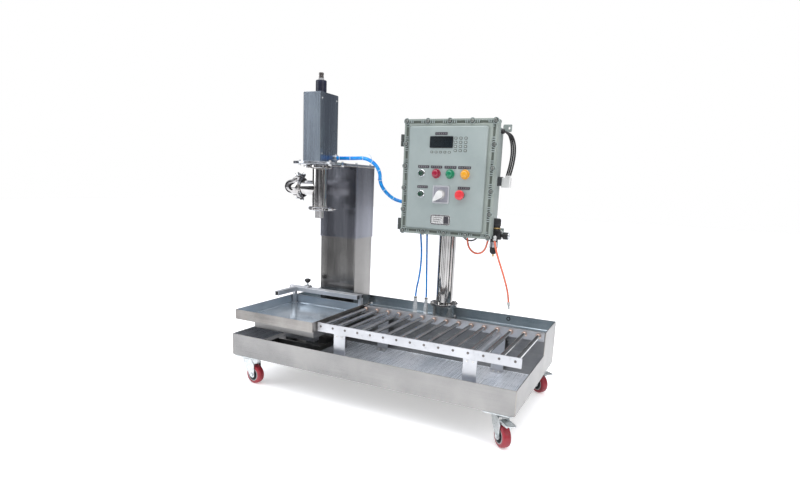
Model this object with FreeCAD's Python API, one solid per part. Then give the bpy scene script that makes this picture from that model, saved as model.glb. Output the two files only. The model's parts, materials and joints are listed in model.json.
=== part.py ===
import FreeCAD, Part
import math
import os

# Drum filling machine: a wheeled drip tray carries a weigh pan with a filling valve over it,
# a roller conveyor that takes the full container away, and a control box on a post.
# Millimetres. X runs along the long side, Y to the back, Z up. The origin lies on the floor
# under the centre of the tray.

V = FreeCAD.Vector
X_AXIS = V(1, 0, 0)
Y_AXIS = V(0, 1, 0)
Z_AXIS = V(0, 0, 1)

# ---- clearances ----
run_gap = 0.05            # radial clearance of a shaft in its bore
body_gap = 0.4            # air between two pieces that move past each other

# ---- base tray and rear plinth ----
base_length = 1200
base_width = 640
caster_height = 118
sheet = 3
tray_wall = 91
plinth_depth = 212
plinth_height = 186
deck_drop = 45
port_radius = 6
port_x = 397
port_below_rim = 18

# ---- casters ----
caster_inset_x = 60
caster_inset_y = 38
caster_trail = 32
wheel_radius = 40
wheel_width = 30
wheel_bore = 5
fork_wall = 3
fork_head_radius = 27
plate_length = 100
plate_width = 78
plate_thickness = 4
kingpin_radius = 6
pedal_length = 58
pedal_width = 34
caster_turns = {"front_left": -8, "front_right": -48, "rear_left": 24, "rear_right": -38}
braked_casters = ("front_right", "rear_right")

# ---- weigh pan and scale ----
pan_left_gap = 13
pan_length = 384
pan_front_gap = 6
pan_depth = 396
pan_bottom = 272
pan_wall = 41
pan_sheet = 2
scale_length = 300
scale_width = 260
scale_tube = 40
cell_length = 150
cell_width = 40
pad_radius = 14

# ---- container guide on the pan ----
guide_tube = 16
guide_rail_top = 358
guide_rail_y = 70
guide_bar_size = 20
guide_bar_left = -557
guide_bar_right = -212
guide_arm_length = 133
clamp_width = 30
clamp_wall = 6
clamp_x = -500
knob_radius = 16
knob_height = 18
knob_stem = 16

# ---- roller conveyor ----
conveyor_gap = 5
rail_height = 35
rail_thickness = 5
rail_top = 310
conveyor_front_y = -286
conveyor_back_gap = 28
roller_count = 15
roller_radius = 8
roller_cup_radius = 11
roller_cup_length = 12
roller_end_gap = 4
axle_radius = 4
axle_drop = 14
first_roller = 15
last_roller = 21
leg_width = 50
leg_offset = 75
tie_size = 20

# ---- lifting column ----
column_x = -381
column_width = 186
column_depth = 156
column_wall = 3
column_top = 700
foot_flange = 8
foot_margin = 14
sleeve_gap = 0.6
sleeve_wall = 2.4
sleeve_bottom = 596
sleeve_top = 916
actuator_radius = 25
actuator_top = 690
lift_rod_radius = 10
lift_rod_bottom = 500

# ---- filling head ----
head_y = -15
head_plate_thickness = 10
head_disc_radius = 112
housing_width = 85
housing_depth = 129
housing_height = 277
housing_wall = 2
cylinder_radius = 34
cylinder_bore = 31
cylinder_height = 240
cylinder_cap = 12
rod_radius = 8
piston_height = 24
valve_stroke = 25
stop_sleeve_radius = 22.5
stop_sleeve_height = 53
bush_radius = 11.5
bush_height = 9
tip_radius = 10
tip_height = 22

# ---- filling valve ----
valve_tube_radius = 31.75
valve_tube_wall = 1.65
ferrule_radius = 38.75
ferrule_height = 6
nozzle_radius = 19.05
nozzle_wall = 2
nozzle_height = 40
nozzle_seat = 6
nozzle_seat_radius = 13
valve_bottom = 730
inlet_height = 817
inlet_length = 62
elbow_radius = 95
outlet_length = 21
clamp_ring_radius = 45
clamp_ring_height = 16
clamp_split = 4
clamp_ear = 8
clamp_lug = 13
clamp_pin_radius = 4
wing_length = 22

# ---- control box ----
box_left = -72
box_right = 332
box_bottom = 642
box_top = 1119
box_front = 157
door_thickness = 24
flange_thickness = 23.5
body_inset = 20
body_back = 320
case_wall = 6
panel_rise = 8
panel_left = -45
panel_right = 296
panel_bottom = 667
panel_top = 1089
bolt_inset = 9
bolt_radius = 7
bolt_head = 5
bolts_across = 5
bolts_up = 6
lug_length = 34
lug_height = 30
lug_thickness = 8
hinge_radius = 8
hinge_height = 50
hinge_offset = 10
hinge_pin_radius = 4

# ---- controls on the door, as places on its panel ----
row_one_z = 898
row_two_z = 812
button_radius = 11.5
button_height = 7
bezel_radius = 16.5
bezel_height = 5
lamp_radius = 15.5
lamp_height = 15
collar_radius = 20
lamp_places = {"red": 86.4, "green": 147.7, "amber": 212.7}
button_places = {"upper": (19.5, row_one_z), "lower": (21, row_two_z)}
estop_place = (199.3, row_two_z + 3)
estop_radius = 20
estop_height = 14
estop_stem = 9
button_travel = 4
selector_place = (112, row_two_z + 1)
selector_plate = 74
selector_radius = 16
selector_tail = 38
selector_height = 20
selector_turn = 225
display_place = (102, 1025)
display_size = (98, 43)
key_columns = (164, 185.5, 207)
key_rows = (1041, 1024.7, 1008.3, 992)
function_keys = (61, 80.5, 100, 119.5, 139)
function_row_z = 985
key_size = 9
label_places = ((28, 925, 51), (86, 925, 51), (148, 925, 52), (209, 925, 55),
                (27, 842, 48), (211, 843, 52), (100, 1059, 54))
label_height = 11
name_plate = (115, 708, 88, 42)

# ---- post ----
post_x = 117.5
post_radius = 38
post_wall = 2
post_disc_radius = 62
post_disc = 11
post_socket_radius = 50
post_socket_height = 76
post_bolt_radius = 5

# ---- air set ----
regulator_x = 340
regulator_y = 220
regulator_width = 44
regulator_depth = 30
regulator_bottom = 639
regulator_top = 674
regulator_bonnet_radius = 21
regulator_bonnet = 18
regulator_knob_radius = 17
regulator_knob_height = 34
gauge_radius = 15
gauge_length = 33
bowl_radius = 15
bowl_height = 62
bowl_x = 333
drain_length = 11

# ---- hoses and cables ----
bundle_radius = 8
air_hose_radius = 4
cable_radius = 3.5
gland_radius = 10
gland_length = 14
small_gland_radius = 7
small_gland_length = 17
plug_radius = 7
plug_length = 31

bundle_route = [(-338.5, 40, 947), (-265, 40, 947), (-207, 89, 954), (-172, 137, 906),
                (-194, 178, 847), (-172, 222, 795), (-124, 244, 768), (-66, 244, 768)]
blue_left_route = [(-12, 240, 645), (-6, 240, 600), (0, 238, 545), (1, 232, 487),
                   (-3, 226, 430), (-10, 222, 390), (-12, 220, 352)]
blue_right_route = [(20, 240, 645), (22, 240, 600), (25, 239, 545), (29, 235, 487),
                    (34, 229, 430), (38, 225, 390), (39, 224, 352)]
orange_loop_route = [(208, 240, 645), (211, 238, 612), (227, 233, 584), (254, 227, 570),
                     (283, 223, 576), (301, 222, 600), (306, 222, 632)]
orange_inlet_route = [(342, 196, 636), (349, 199, 600), (364, 208, 552), (382, 222, 498),
                      (397, 236, 444), (405, 245, 406), (408, 249, 375)]
side_cable_route = [(326, 285, 1080), (350, 286, 1068), (364, 288, 1034), (368, 290, 988),
                    (363, 290, 943), (354, 290, 902)]

# ---- places worked out from the sizes above ----
half_length = base_length / 2
half_width = base_width / 2
tray_top = caster_height + tray_wall
tray_floor = caster_height + sheet
plinth_front = half_width - plinth_depth
rim_z = caster_height + plinth_height
deck_z = rim_z - deck_drop
deck_y = (plinth_front + half_width) / 2
pan_x0 = -half_length + pan_left_gap
pan_x1 = pan_x0 + pan_length
pan_y0 = -half_width + pan_front_gap
pan_y1 = pan_y0 + pan_depth
pan_floor = pan_bottom + pan_sheet
conveyor_x0 = pan_x1 + conveyor_gap
conveyor_x1 = half_length
conveyor_back_y = plinth_front - conveyor_back_gap
axle_z = rail_top - axle_drop
head_x = column_x
plate_top = sleeve_top + head_plate_thickness
housing_top = plate_top + housing_height
housing_mid_y = head_y + 1.5
valve_top = sleeve_top
panel_front = box_front - panel_rise
body_left = box_left + body_inset
body_right = box_right - body_inset
body_bottom = box_bottom + body_inset
body_top = box_top - body_inset
door_back = box_front + door_thickness
flange_front = door_back + body_gap + 0.1
flange_back = flange_front + flange_thickness
hinge_x = box_left - hinge_offset
hinge_y = box_front + 8
post_y = deck_y + 32


def block(x0, x1, y0, y1, z0, z1):
    """A box between two corners."""
    return Part.makeBox(x1 - x0, y1 - y0, z1 - z0, V(x0, y0, z0))


def rod(radius, length, x, y, z, axis=Z_AXIS):
    """A round bar that starts at a point and runs along an axis."""
    return Part.makeCylinder(radius, length, V(x, y, z), axis)


def pipe(outer, inner, length, x, y, z, axis=Z_AXIS):
    """A round tube."""
    return rod(outer, length, x, y, z, axis).cut(rod(inner, length, x, y, z, axis))


def fuse(pieces):
    """One solid from pieces that touch or cross."""
    whole = pieces[0]
    for piece in pieces[1:]:
        whole = whole.fuse(piece)
    return whole.removeSplitter()


def turned(shape, degrees, x, y, axis=Z_AXIS, z=0):
    """A copy turned about an axis through a point."""
    copy = shape.copy()
    copy.rotate(V(x, y, z), axis, degrees)
    return copy


def plate_from(points, thickness, direction):
    """A flat plate of a given outline, pushed along a direction."""
    face = Part.Face(Part.makePolygon([V(*point) for point in points + points[:1]]))
    return face.extrude(direction * thickness)


def save(node, shapes):
    """Write one node: a single solid, or a group of separate solids."""
    if not isinstance(shapes, list):
        shapes = [shapes]
    whole = shapes[0] if len(shapes) == 1 else Part.makeCompound(shapes)
    whole.exportStep("parts/" + node + ".step")


def cord(node, route, radius):
    """A round cord along straight runs that tangent arcs join."""
    points = [V(*point) for point in route]
    edges = []
    start = points[0]
    length = 0
    smallest = 1e9
    for before, corner, after in zip(points, points[1:], points[2:]):
        come = (corner - before).normalize()
        go = (after - corner).normalize()
        half_turn = come.getAngle(go) / 2
        reach = 0.45 * min((corner - before).Length, (after - corner).Length)
        bend = reach / math.tan(half_turn)
        enter = corner - come * reach
        leave = corner + go * reach
        middle = corner + (go - come).normalize() * (bend / math.cos(half_turn) - bend)
        edges.append(Part.LineSegment(start, enter).toShape())
        edges.append(Part.Arc(enter, middle, leave).toShape())
        length += (enter - start).Length + bend * 2 * half_turn
        smallest = min(smallest, bend)
        start = leave
    edges.append(Part.LineSegment(start, points[-1]).toShape())
    length += (points[-1] - start).Length
    wire = Part.Wire(edges)
    circle = Part.Wire(Part.makeCircle(radius, points[0], (points[1] - points[0]).normalize()))
    tube = wire.makePipeShell([circle], True, True)
    section = math.pi * radius * radius
    print(node, "length", round(length, 1), "smallest bend", round(smallest, 1),
          "in diameters", round(smallest / (2 * radius), 1),
          "volume ratio", round(tube.Volume / (section * length), 4))
    save(node, tube)


def make_base_tray():
    """The folded drip tray, with the four caster plates bolted under it."""
    floor = block(-half_length, half_length, -half_width, half_width, caster_height, tray_floor)
    front = block(-half_length, half_length, -half_width, -half_width + sheet,
                  caster_height, tray_top)
    left = block(-half_length, -half_length + sheet, -half_width, plinth_front,
                 caster_height, tray_top)
    right = block(half_length - sheet, half_length, -half_width, plinth_front,
                  caster_height, tray_top)
    plates = []
    for name in caster_turns:
        x, y = caster_place(name)
        plate_z = caster_height - plate_thickness
        plate = block(x - plate_length / 2, x + plate_length / 2,
                      y - plate_width / 2, y + plate_width / 2, plate_z, caster_height)
        pin = rod(kingpin_radius, 12, x, y, plate_z - 12)
        head = rod(kingpin_radius + 4, 4, x, y, plate_z - 16)
        bolts = [rod(5, 4, x + sx * (plate_length / 2 - 12), y + sy * (plate_width / 2 - 12),
                     plate_z - 4) for sx in (-1, 1) for sy in (-1, 1)]
        plates.append(fuse([plate, pin, head] + bolts))
    save("base_tray", [fuse([floor, front, left, right])] + plates)


def make_rear_plinth():
    """The raised trough along the back that carries the column and the post."""
    shell = block(-half_length, half_length, plinth_front, half_width, tray_floor, rim_z)
    under = block(-half_length + sheet, half_length - sheet, plinth_front + sheet,
                  half_width - sheet, tray_floor, deck_z - sheet)
    over = block(-half_length + sheet, half_length - sheet, plinth_front + sheet,
                 half_width - sheet, deck_z, rim_z)
    port = rod(port_radius, sheet, port_x, half_width - sheet, rim_z - port_below_rim, Y_AXIS)
    save("rear_plinth", shell.cut(under).cut(over).cut(port))


def caster_place(name):
    """Where a caster's swivel axis stands."""
    x = half_length - caster_inset_x
    y = half_width - caster_inset_y
    return (x if "right" in name else -x), (y if "rear" in name else -y)


def make_casters():
    """Four swivel casters; the two at the discharge end have a brake pedal."""
    head_z = caster_height - plate_thickness
    inside = wheel_width / 2 + 2.5
    for name, turn in caster_turns.items():
        x, y = caster_place(name)
        axle_x = x + caster_trail
        crown_bottom = head_z - 10
        crown = rod(fork_head_radius, 4, x, y, crown_bottom)
        race = rod(fork_head_radius - 5, 5.5, x, y, crown_bottom + 4)
        bridge = block(x - 20, x + 26, y - inside - fork_wall, y + inside + fork_wall,
                       crown_bottom, crown_bottom + 3)
        bore = rod(kingpin_radius + run_gap, 12, x, y, crown_bottom)
        outline = [(x - 24, 0, crown_bottom + 3), (x + 26, 0, crown_bottom + 3),
                   (x + 44, 0, crown_bottom - 14), (axle_x + 12, 0, wheel_radius - 6),
                   (axle_x + 5, 0, wheel_radius - 12), (axle_x - 6, 0, wheel_radius - 12),
                   (x - 10, 0, crown_bottom - 34)]
        legs = []
        for leg_y in (y - inside - fork_wall, y + inside):
            legs.append(plate_from([(px, leg_y, pz) for px, _, pz in outline],
                                   fork_wall, Y_AXIS))
        axle = rod(wheel_bore, 2 * inside + 2 * fork_wall + 8, axle_x,
                   y - inside - fork_wall - 4, wheel_radius, Y_AXIS)
        nuts = [rod(wheel_bore + 3, 4, axle_x, end, wheel_radius, Y_AXIS)
                for end in (y - inside - fork_wall - 4, y + inside + fork_wall)]
        fork = fuse([crown, race, bridge] + legs).cut(bore)
        fork = fuse([fork, axle] + nuts)
        wheel = rod(wheel_radius, wheel_width, axle_x, y - wheel_width / 2, wheel_radius, Y_AXIS)
        wheel = wheel.makeFillet(7, [edge for edge in wheel.Edges if edge.Length > wheel_radius])
        wheel = wheel.cut(rod(wheel_bore + run_gap, wheel_width, axle_x, y - wheel_width / 2,
                              wheel_radius, Y_AXIS))
        if name in braked_casters:
            pivot_x = x + 36
            pivot_z = crown_bottom - 10
            pin = rod(3, 2 * inside + 2 * fork_wall, pivot_x, y - inside - fork_wall,
                      pivot_z, Y_AXIS)
            fork = fuse([fork, pin])
            save_pedal(name, pivot_x, y, pivot_z, x, turn, inside)
        save("caster_fork_" + name, turned(fork, turn, x, y))
        save("caster_wheel_" + name, turned(wheel, turn, x, y))


def save_pedal(name, pivot_x, y, pivot_z, x, turn, inside):
    """A pressed brake pedal on a pin between the fork's legs."""
    half = inside - 1
    barrel = rod(6, 2 * half, pivot_x, y - half, pivot_z, Y_AXIS)
    tongue = block(pivot_x, pivot_x + 14, y - half, y + half, pivot_z + 2.5, pivot_z + 5.5)
    tread = block(pivot_x + 12, pivot_x + pedal_length, y - pedal_width / 2,
                  y + pedal_width / 2, pivot_z + 2.5, pivot_z + 5.5)
    lips = [block(pivot_x + 16, pivot_x + pedal_length, y + side * pedal_width / 2 - 1.5,
                  y + side * pedal_width / 2 + 1.5, pivot_z - 4, pivot_z + 5.5)
            for side in (-1, 1)]
    pedal = fuse([barrel, tongue, tread] + lips)
    pedal = pedal.cut(rod(3 + run_gap, 2 * half, pivot_x, y - half, pivot_z, Y_AXIS))
    save("brake_pedal_" + name, turned(pedal, turn, x, y))


def make_weigh_scale():
    """Lower frame, load cell with its spacers, upper frame and four rubber pads."""
    mid_x = (pan_x0 + pan_x1) / 2
    mid_y = (pan_y0 + pan_y1) / 2
    wall = 3

    def frame(z0):
        outer = block(mid_x - scale_length / 2, mid_x + scale_length / 2,
                      mid_y - scale_width / 2, mid_y + scale_width / 2, z0, z0 + scale_tube)
        hole = block(mid_x - scale_length / 2 + scale_tube, mid_x + scale_length / 2 - scale_tube,
                     mid_y - scale_width / 2 + scale_tube, mid_y + scale_width / 2 - scale_tube,
                     z0, z0 + scale_tube)
        bar = block(mid_x - scale_length / 2, mid_x + scale_length / 2,
                    mid_y - cell_width / 2, mid_y + cell_width / 2, z0, z0 + scale_tube - wall)
        return fuse([outer.cut(hole), bar])

    pad_height = 6
    top_z = pan_bottom - pad_height - scale_tube
    lower_top = tray_floor + scale_tube
    spacer = (top_z - lower_top) / 5
    cell_z0 = lower_top + spacer - wall
    cell_z1 = top_z - spacer
    cell = block(mid_x - cell_length / 2, mid_x + cell_length / 2,
                 mid_y - cell_width / 2, mid_y + cell_width / 2, cell_z0, cell_z1)
    window = rod(cell_width / 4, cell_width, mid_x, mid_y - cell_width / 2,
                 (cell_z0 + cell_z1) / 2, Y_AXIS)
    low_spacer = block(mid_x - cell_length / 2, mid_x - cell_length / 2 + cell_width,
                       mid_y - cell_width / 2, mid_y + cell_width / 2, lower_top - wall, cell_z0)
    high_spacer = block(mid_x + cell_length / 2 - cell_width, mid_x + cell_length / 2,
                        mid_y - cell_width / 2, mid_y + cell_width / 2, cell_z1, top_z)
    pads = [rod(pad_radius, pad_height, mid_x + sx * (scale_length / 2 - 25),
                mid_y + sy * (scale_width / 2 - 25), pan_bottom - pad_height)
            for sx in (-1, 1) for sy in (-1, 1)]
    save("weigh_scale", [frame(tray_floor), low_spacer, cell.cut(window), high_spacer,
                         frame(top_z)] + pads)


def make_weigh_pan():
    """The shallow pan that the container stands in while it is filled."""
    outer = block(pan_x0, pan_x1, pan_y0, pan_y1, pan_bottom, pan_bottom + pan_wall)
    inner = block(pan_x0 + pan_sheet, pan_x1 - pan_sheet, pan_y0 + pan_sheet,
                  pan_y1 - pan_sheet, pan_floor, pan_bottom + pan_wall)
    save("weigh_pan", outer.cut(inner))


def make_guide():
    """The rail on two posts behind the pan, and the stop that slides along it."""
    y0 = guide_rail_y - guide_tube / 2
    y1 = guide_rail_y + guide_tube / 2
    rail_z0 = guide_rail_top - guide_tube
    left = pan_x0 + pan_sheet + 4
    right = pan_x1 - pan_sheet
    rail = block(left - 14, right, y0, y1, rail_z0, guide_rail_top)
    posts = [block(start, start + guide_tube, y0, y1, pan_floor, rail_z0)
             for start in (left, right - guide_tube)]
    save("guide_stand", fuse([rail] + posts))

    bar_y1 = y0 - clamp_wall
    bar_y0 = bar_y1 - guide_bar_size
    bar_z1 = guide_rail_top + 1
    bar_z0 = bar_z1 - guide_bar_size
    bar = block(guide_bar_left, guide_bar_right, bar_y0, bar_y1, bar_z0, bar_z1)
    arm = block(guide_bar_left, guide_bar_left + guide_bar_size, bar_y0 - guide_arm_length,
                bar_y0, bar_z0, bar_z1)
    collar = block(clamp_x - clamp_width / 2, clamp_x + clamp_width / 2, bar_y1,
                   y1 + clamp_wall, rail_z0 - clamp_wall, guide_rail_top + clamp_wall)
    hole = block(clamp_x - clamp_width / 2, clamp_x + clamp_width / 2, y0 - run_gap,
                 y1 + run_gap, rail_z0 - run_gap, guide_rail_top + run_gap)
    collar_top = guide_rail_top + clamp_wall
    stem = rod(4, knob_stem, clamp_x, guide_rail_y, collar_top)
    cap = Part.makeCone(knob_radius * 0.55, knob_radius, knob_height * 0.45,
                        V(clamp_x, guide_rail_y, collar_top + knob_stem))
    crown = Part.makeCone(knob_radius, knob_radius * 0.6, knob_height * 0.55,
                          V(clamp_x, guide_rail_y, collar_top + knob_stem + knob_height * 0.45))
    save("guide_bar", [fuse([bar, arm, collar.cut(hole)]), fuse([stem, cap, crown])])


def make_conveyor():
    """Rails on legs with fixed axles, and the rollers that turn on them."""
    front_y = conveyor_front_y
    back_y = conveyor_back_y
    rail_z0 = rail_top - rail_height
    pitch = (conveyor_x1 - conveyor_x0 - first_roller - last_roller) / (roller_count - 1)
    places = [conveyor_x0 + first_roller + index * pitch for index in range(roller_count)]
    rails = []
    for y0 in (front_y, back_y - rail_thickness):
        rail = block(conveyor_x0, conveyor_x1, y0, y0 + rail_thickness, rail_z0, rail_top)
        for x in places:
            rail = rail.cut(rod(axle_radius, rail_thickness, x, y0, axle_z, Y_AXIS))
        rails.append(rail)
    legs = []
    leg_starts = (conveyor_x0 + leg_offset, conveyor_x1 - 2 * leg_offset - leg_width)
    for start in leg_starts:
        for y0 in (front_y, back_y - rail_thickness):
            legs.append(block(start, start + leg_width, y0, y0 + rail_thickness,
                              tray_floor, rail_z0))
    tie_top = axle_z - roller_cup_radius - 3
    inner_front = front_y + rail_thickness
    inner_back = back_y - rail_thickness
    ties = [block(start + leg_width / 2 - tie_size / 2, start + leg_width / 2 + tie_size / 2,
                  inner_front, inner_back, tie_top - tie_size, tie_top)
            for start in leg_starts]
    axles = [rod(axle_radius, back_y - front_y + 2, x, front_y - 1, axle_z, Y_AXIS)
             for x in places]
    save("conveyor_frame", rails + legs + ties + axles)
    roller_y0 = inner_front + roller_end_gap
    roller_length = inner_back - inner_front - 2 * roller_end_gap
    for number, x in enumerate(places, 1):
        tube = rod(roller_radius, roller_length, x, roller_y0, axle_z, Y_AXIS)
        cups = [rod(roller_cup_radius, roller_cup_length, x, start, axle_z, Y_AXIS)
                for start in (roller_y0, roller_y0 + roller_length - roller_cup_length)]
        bore = rod(axle_radius + run_gap, roller_length, x, roller_y0, axle_z, Y_AXIS)
        save("roller_%02d" % number, fuse([tube] + cups).cut(bore))


def make_column():
    """The fixed mast with the lift actuator inside, and the sleeve that slides over it."""
    x0 = column_x - column_width / 2
    x1 = column_x + column_width / 2
    y0 = deck_y - column_depth / 2
    y1 = deck_y + column_depth / 2
    flange = block(x0 - foot_margin, x1 + foot_margin, y0 - foot_margin, y1 + foot_margin,
                   deck_z, deck_z + foot_flange)
    mast = block(x0, x1, y0, y1, deck_z + foot_flange, column_top)
    mast = mast.cut(block(x0 + column_wall, x1 - column_wall, y0 + column_wall,
                          y1 - column_wall, deck_z + foot_flange, column_top))
    barrel = rod(actuator_radius, actuator_top - deck_z - foot_flange, column_x, deck_y,
                 deck_z + foot_flange)
    barrel_bore = rod(lift_rod_radius + run_gap, actuator_top, column_x, deck_y,
                      deck_z + foot_flange + cylinder_cap)
    save("column_mast", [fuse([flange, mast]), barrel.cut(barrel_bore)])

    inner = sleeve_gap
    outer = sleeve_gap + sleeve_wall
    sleeve = block(x0 - outer, x1 + outer, y0 - outer, y1 + outer, sleeve_bottom, sleeve_top)
    sleeve = sleeve.cut(block(x0 - inner, x1 + inner, y0 - inner, y1 + inner,
                              sleeve_bottom, sleeve_top - foot_flange))
    lift_rod = rod(lift_rod_radius, sleeve_top - foot_flange - lift_rod_bottom, column_x,
                   deck_y, lift_rod_bottom)
    save("column_sleeve", [sleeve, lift_rod])

    plate = block(x0 - outer, x1 + outer, head_y, y1 + outer, sleeve_top, plate_top)
    disc = rod(head_disc_radius, head_plate_thickness, head_x, head_y, sleeve_top)
    rod_hole = rod(rod_radius + 2, head_plate_thickness, head_x, head_y, sleeve_top)
    save("head_plate", fuse([plate, disc]).cut(rod_hole))


def make_head():
    """The housing, the air cylinder in it, and the rod that opens the valve."""
    x0 = head_x - housing_width / 2
    x1 = head_x + housing_width / 2
    y0 = housing_mid_y - housing_depth / 2
    y1 = housing_mid_y + housing_depth / 2
    shell = block(x0, x1, y0, y1, plate_top, housing_top)
    shell = shell.cut(block(x0 + housing_wall, x1 - housing_wall, y0 + housing_wall,
                            y1 - housing_wall, plate_top, housing_top - housing_wall))
    shell = shell.cut(rod(rod_radius + 2, housing_wall, head_x, head_y,
                          housing_top - housing_wall))
    stop_bore = tip_radius + 2
    stop_sleeve = pipe(stop_sleeve_radius, stop_bore, stop_sleeve_height, head_x, head_y,
                       housing_top)
    bush_z = housing_top + stop_sleeve_height
    bush_foot = pipe(stop_bore, rod_radius + run_gap, bush_height, head_x, head_y,
                     bush_z - bush_height)
    bush = pipe(bush_radius, rod_radius + run_gap, bush_height, head_x, head_y, bush_z)
    save("cylinder_housing", [shell, stop_sleeve, fuse([bush, bush_foot])])

    barrel = rod(cylinder_radius, cylinder_height, head_x, head_y, plate_top)
    hollow = rod(cylinder_bore, cylinder_height - 2 * cylinder_cap, head_x, head_y,
                 plate_top + cylinder_cap)
    rod_bore = rod(rod_radius + run_gap, cylinder_height, head_x, head_y, plate_top)
    save("air_cylinder", barrel.cut(hollow).cut(rod_bore))

    tip_z = bush_z + bush_height
    plug_z = valve_bottom - nozzle_height + nozzle_seat
    stem = rod(rod_radius, tip_z - plug_z, head_x, head_y, plug_z)
    plug = rod(nozzle_radius - nozzle_wall - 2, 14, head_x, head_y, plug_z)
    piston_z = plate_top + cylinder_cap + 20
    piston = rod(cylinder_bore - run_gap, piston_height, head_x, head_y, piston_z)
    tip = rod(tip_radius, tip_height, head_x, head_y, tip_z)
    save("valve_rod", fuse([stem, plug, piston, tip]))


def clamp_ring(x, y, z, axis, across):
    """Two half rings round a pair of ferrules, held by a bolt with a wing nut."""
    centre = V(x, y, z)
    side = axis.cross(across)
    start = centre - axis * (clamp_ring_height / 2)
    ring = Part.makeCylinder(clamp_ring_radius, clamp_ring_height, start, axis)
    ring = ring.cut(Part.makeCylinder(ferrule_radius + run_gap, clamp_ring_height, start, axis))
    ear = clamp_ring_radius + clamp_ear
    pin_start = centre + across * ear - side * (clamp_lug + 4)
    pin_length = 2 * clamp_lug + 12 + wing_length / 2
    pin = Part.makeCylinder(clamp_pin_radius, pin_length, pin_start, side)
    wing = turned_box(wing_length, 5, wing_length / 2,
                      pin_start + side * (pin_length - wing_length / 4), side)
    halves = []
    for sign in (-1, 1):
        reach = 2 * clamp_ring_radius
        keep = turned_box(4 * reach, 4 * reach, reach,
                          centre + side * (sign * (reach + clamp_split) / 2), side)
        lug = turned_box(14, 14, clamp_lug,
                         centre + across * (ear - 3) + side * (sign * (clamp_lug + 4) / 2), side)
        half = fuse([ring.common(keep), lug])
        halves.append(half.cut(Part.makeCylinder(clamp_pin_radius + run_gap, pin_length,
                                                 pin_start, side)))
    return halves + [fuse([pin, wing])]


def turned_box(width, depth, height, centre, up):
    """A box about its centre, with its height along a given direction."""
    shape = Part.makeBox(width, depth, height, V(-width / 2, -depth / 2, -height / 2))
    shape.Placement = FreeCAD.Placement(centre, FreeCAD.Rotation(Z_AXIS, up))
    return shape


def make_valve():
    """The filling valve: body with side inlet, nozzle, elbow and the clamps between them."""
    wall_radius = valve_tube_radius - valve_tube_wall
    body_z1 = valve_top
    tube = rod(valve_tube_radius, body_z1 - valve_bottom, head_x, head_y, valve_bottom)
    inlet_x = head_x - inlet_length - valve_tube_radius
    branch = rod(valve_tube_radius, head_x - inlet_x, inlet_x, head_y, inlet_height, X_AXIS)
    low_ferrule = rod(ferrule_radius, ferrule_height, head_x, head_y, valve_bottom)
    high_ferrule = rod(ferrule_radius, 2 * ferrule_height, head_x, head_y,
                       body_z1 - 2 * ferrule_height)
    inlet_ferrule = rod(ferrule_radius, ferrule_height, inlet_x, head_y, inlet_height, X_AXIS)
    solid = fuse([tube, branch, low_ferrule, high_ferrule, inlet_ferrule])
    chamber = rod(wall_radius, body_z1 - ferrule_height - valve_bottom, head_x, head_y,
                  valve_bottom)
    way_in = rod(wall_radius, head_x - inlet_x, inlet_x, head_y, inlet_height, X_AXIS)
    stem_bore = rod(rod_radius + run_gap, ferrule_height, head_x, head_y,
                    body_z1 - ferrule_height)
    body = solid.cut(chamber).cut(way_in).cut(stem_bore)

    nozzle_top = valve_bottom
    flange = rod(ferrule_radius, ferrule_height, head_x, head_y, nozzle_top - ferrule_height)
    spout_z0 = nozzle_top - nozzle_height
    spout = rod(nozzle_radius, nozzle_height, head_x, head_y, spout_z0)
    bore = rod(nozzle_radius - nozzle_wall, nozzle_height - nozzle_seat, head_x, head_y,
               spout_z0 + nozzle_seat)
    seat = rod(nozzle_seat_radius, nozzle_seat, head_x, head_y, spout_z0)
    save("filling_valve", [body, fuse([flange, spout]).cut(bore).cut(seat)])

    elbow_x = inlet_x
    centre = V(elbow_x - ferrule_height, head_y + elbow_radius, inlet_height)
    end_y = head_y + elbow_radius
    end_x = centre.x - elbow_radius
    bend = Part.makeTorus(elbow_radius, valve_tube_radius, centre, Z_AXIS)
    hollow = Part.makeTorus(elbow_radius, wall_radius, centre, Z_AXIS)
    quarter = block(centre.x - 3 * elbow_radius, centre.x, centre.y - 3 * elbow_radius, centre.y,
                    inlet_height - 2 * valve_tube_radius, inlet_height + 2 * valve_tube_radius)
    bend = bend.common(quarter)
    hollow = hollow.common(quarter)
    near = rod(ferrule_radius, ferrule_height, elbow_x - ferrule_height, head_y, inlet_height,
               X_AXIS)
    tail = rod(valve_tube_radius, outlet_length, end_x, end_y, inlet_height, Y_AXIS)
    far = rod(ferrule_radius, ferrule_height, end_x, end_y + outlet_length - ferrule_height,
              inlet_height, Y_AXIS)
    near_bore = rod(wall_radius, ferrule_height, elbow_x - ferrule_height, head_y, inlet_height,
                    X_AXIS)
    tail_bore = rod(wall_radius, outlet_length, end_x, end_y, inlet_height, Y_AXIS)
    elbow = fuse([bend, near, tail, far]).cut(fuse([hollow, near_bore, tail_bore]))
    save("inlet_elbow", elbow)

    pieces = []
    rings = ((head_x, head_y, valve_bottom, Z_AXIS, X_AXIS),
             (head_x, head_y, body_z1 - clamp_ring_height / 2, Z_AXIS, V(-1, 0, 0)),
             (inlet_x, head_y, inlet_height, X_AXIS, Z_AXIS),
             (end_x, end_y + outlet_length - clamp_ring_height / 2, inlet_height, Y_AXIS, Z_AXIS))
    for x, y, z, axis, across in rings:
        pieces += clamp_ring(x, y, z, axis, across)
    save("clamp_rings", pieces)


def bolt_places():
    """Centres of the cover bolts, round the flange."""
    left = box_left + bolt_inset
    right = box_right - bolt_inset
    bottom = box_bottom + bolt_inset
    top = box_top - bolt_inset
    places = []
    for index in range(bolts_across):
        x = left + (right - left) * index / (bolts_across - 1)
        places += [(x, bottom), (x, top)]
    for index in range(1, bolts_up - 1):
        z = bottom + (top - bottom) * index / (bolts_up - 1)
        places += [(left, z), (right, z)]
    return places


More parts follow.
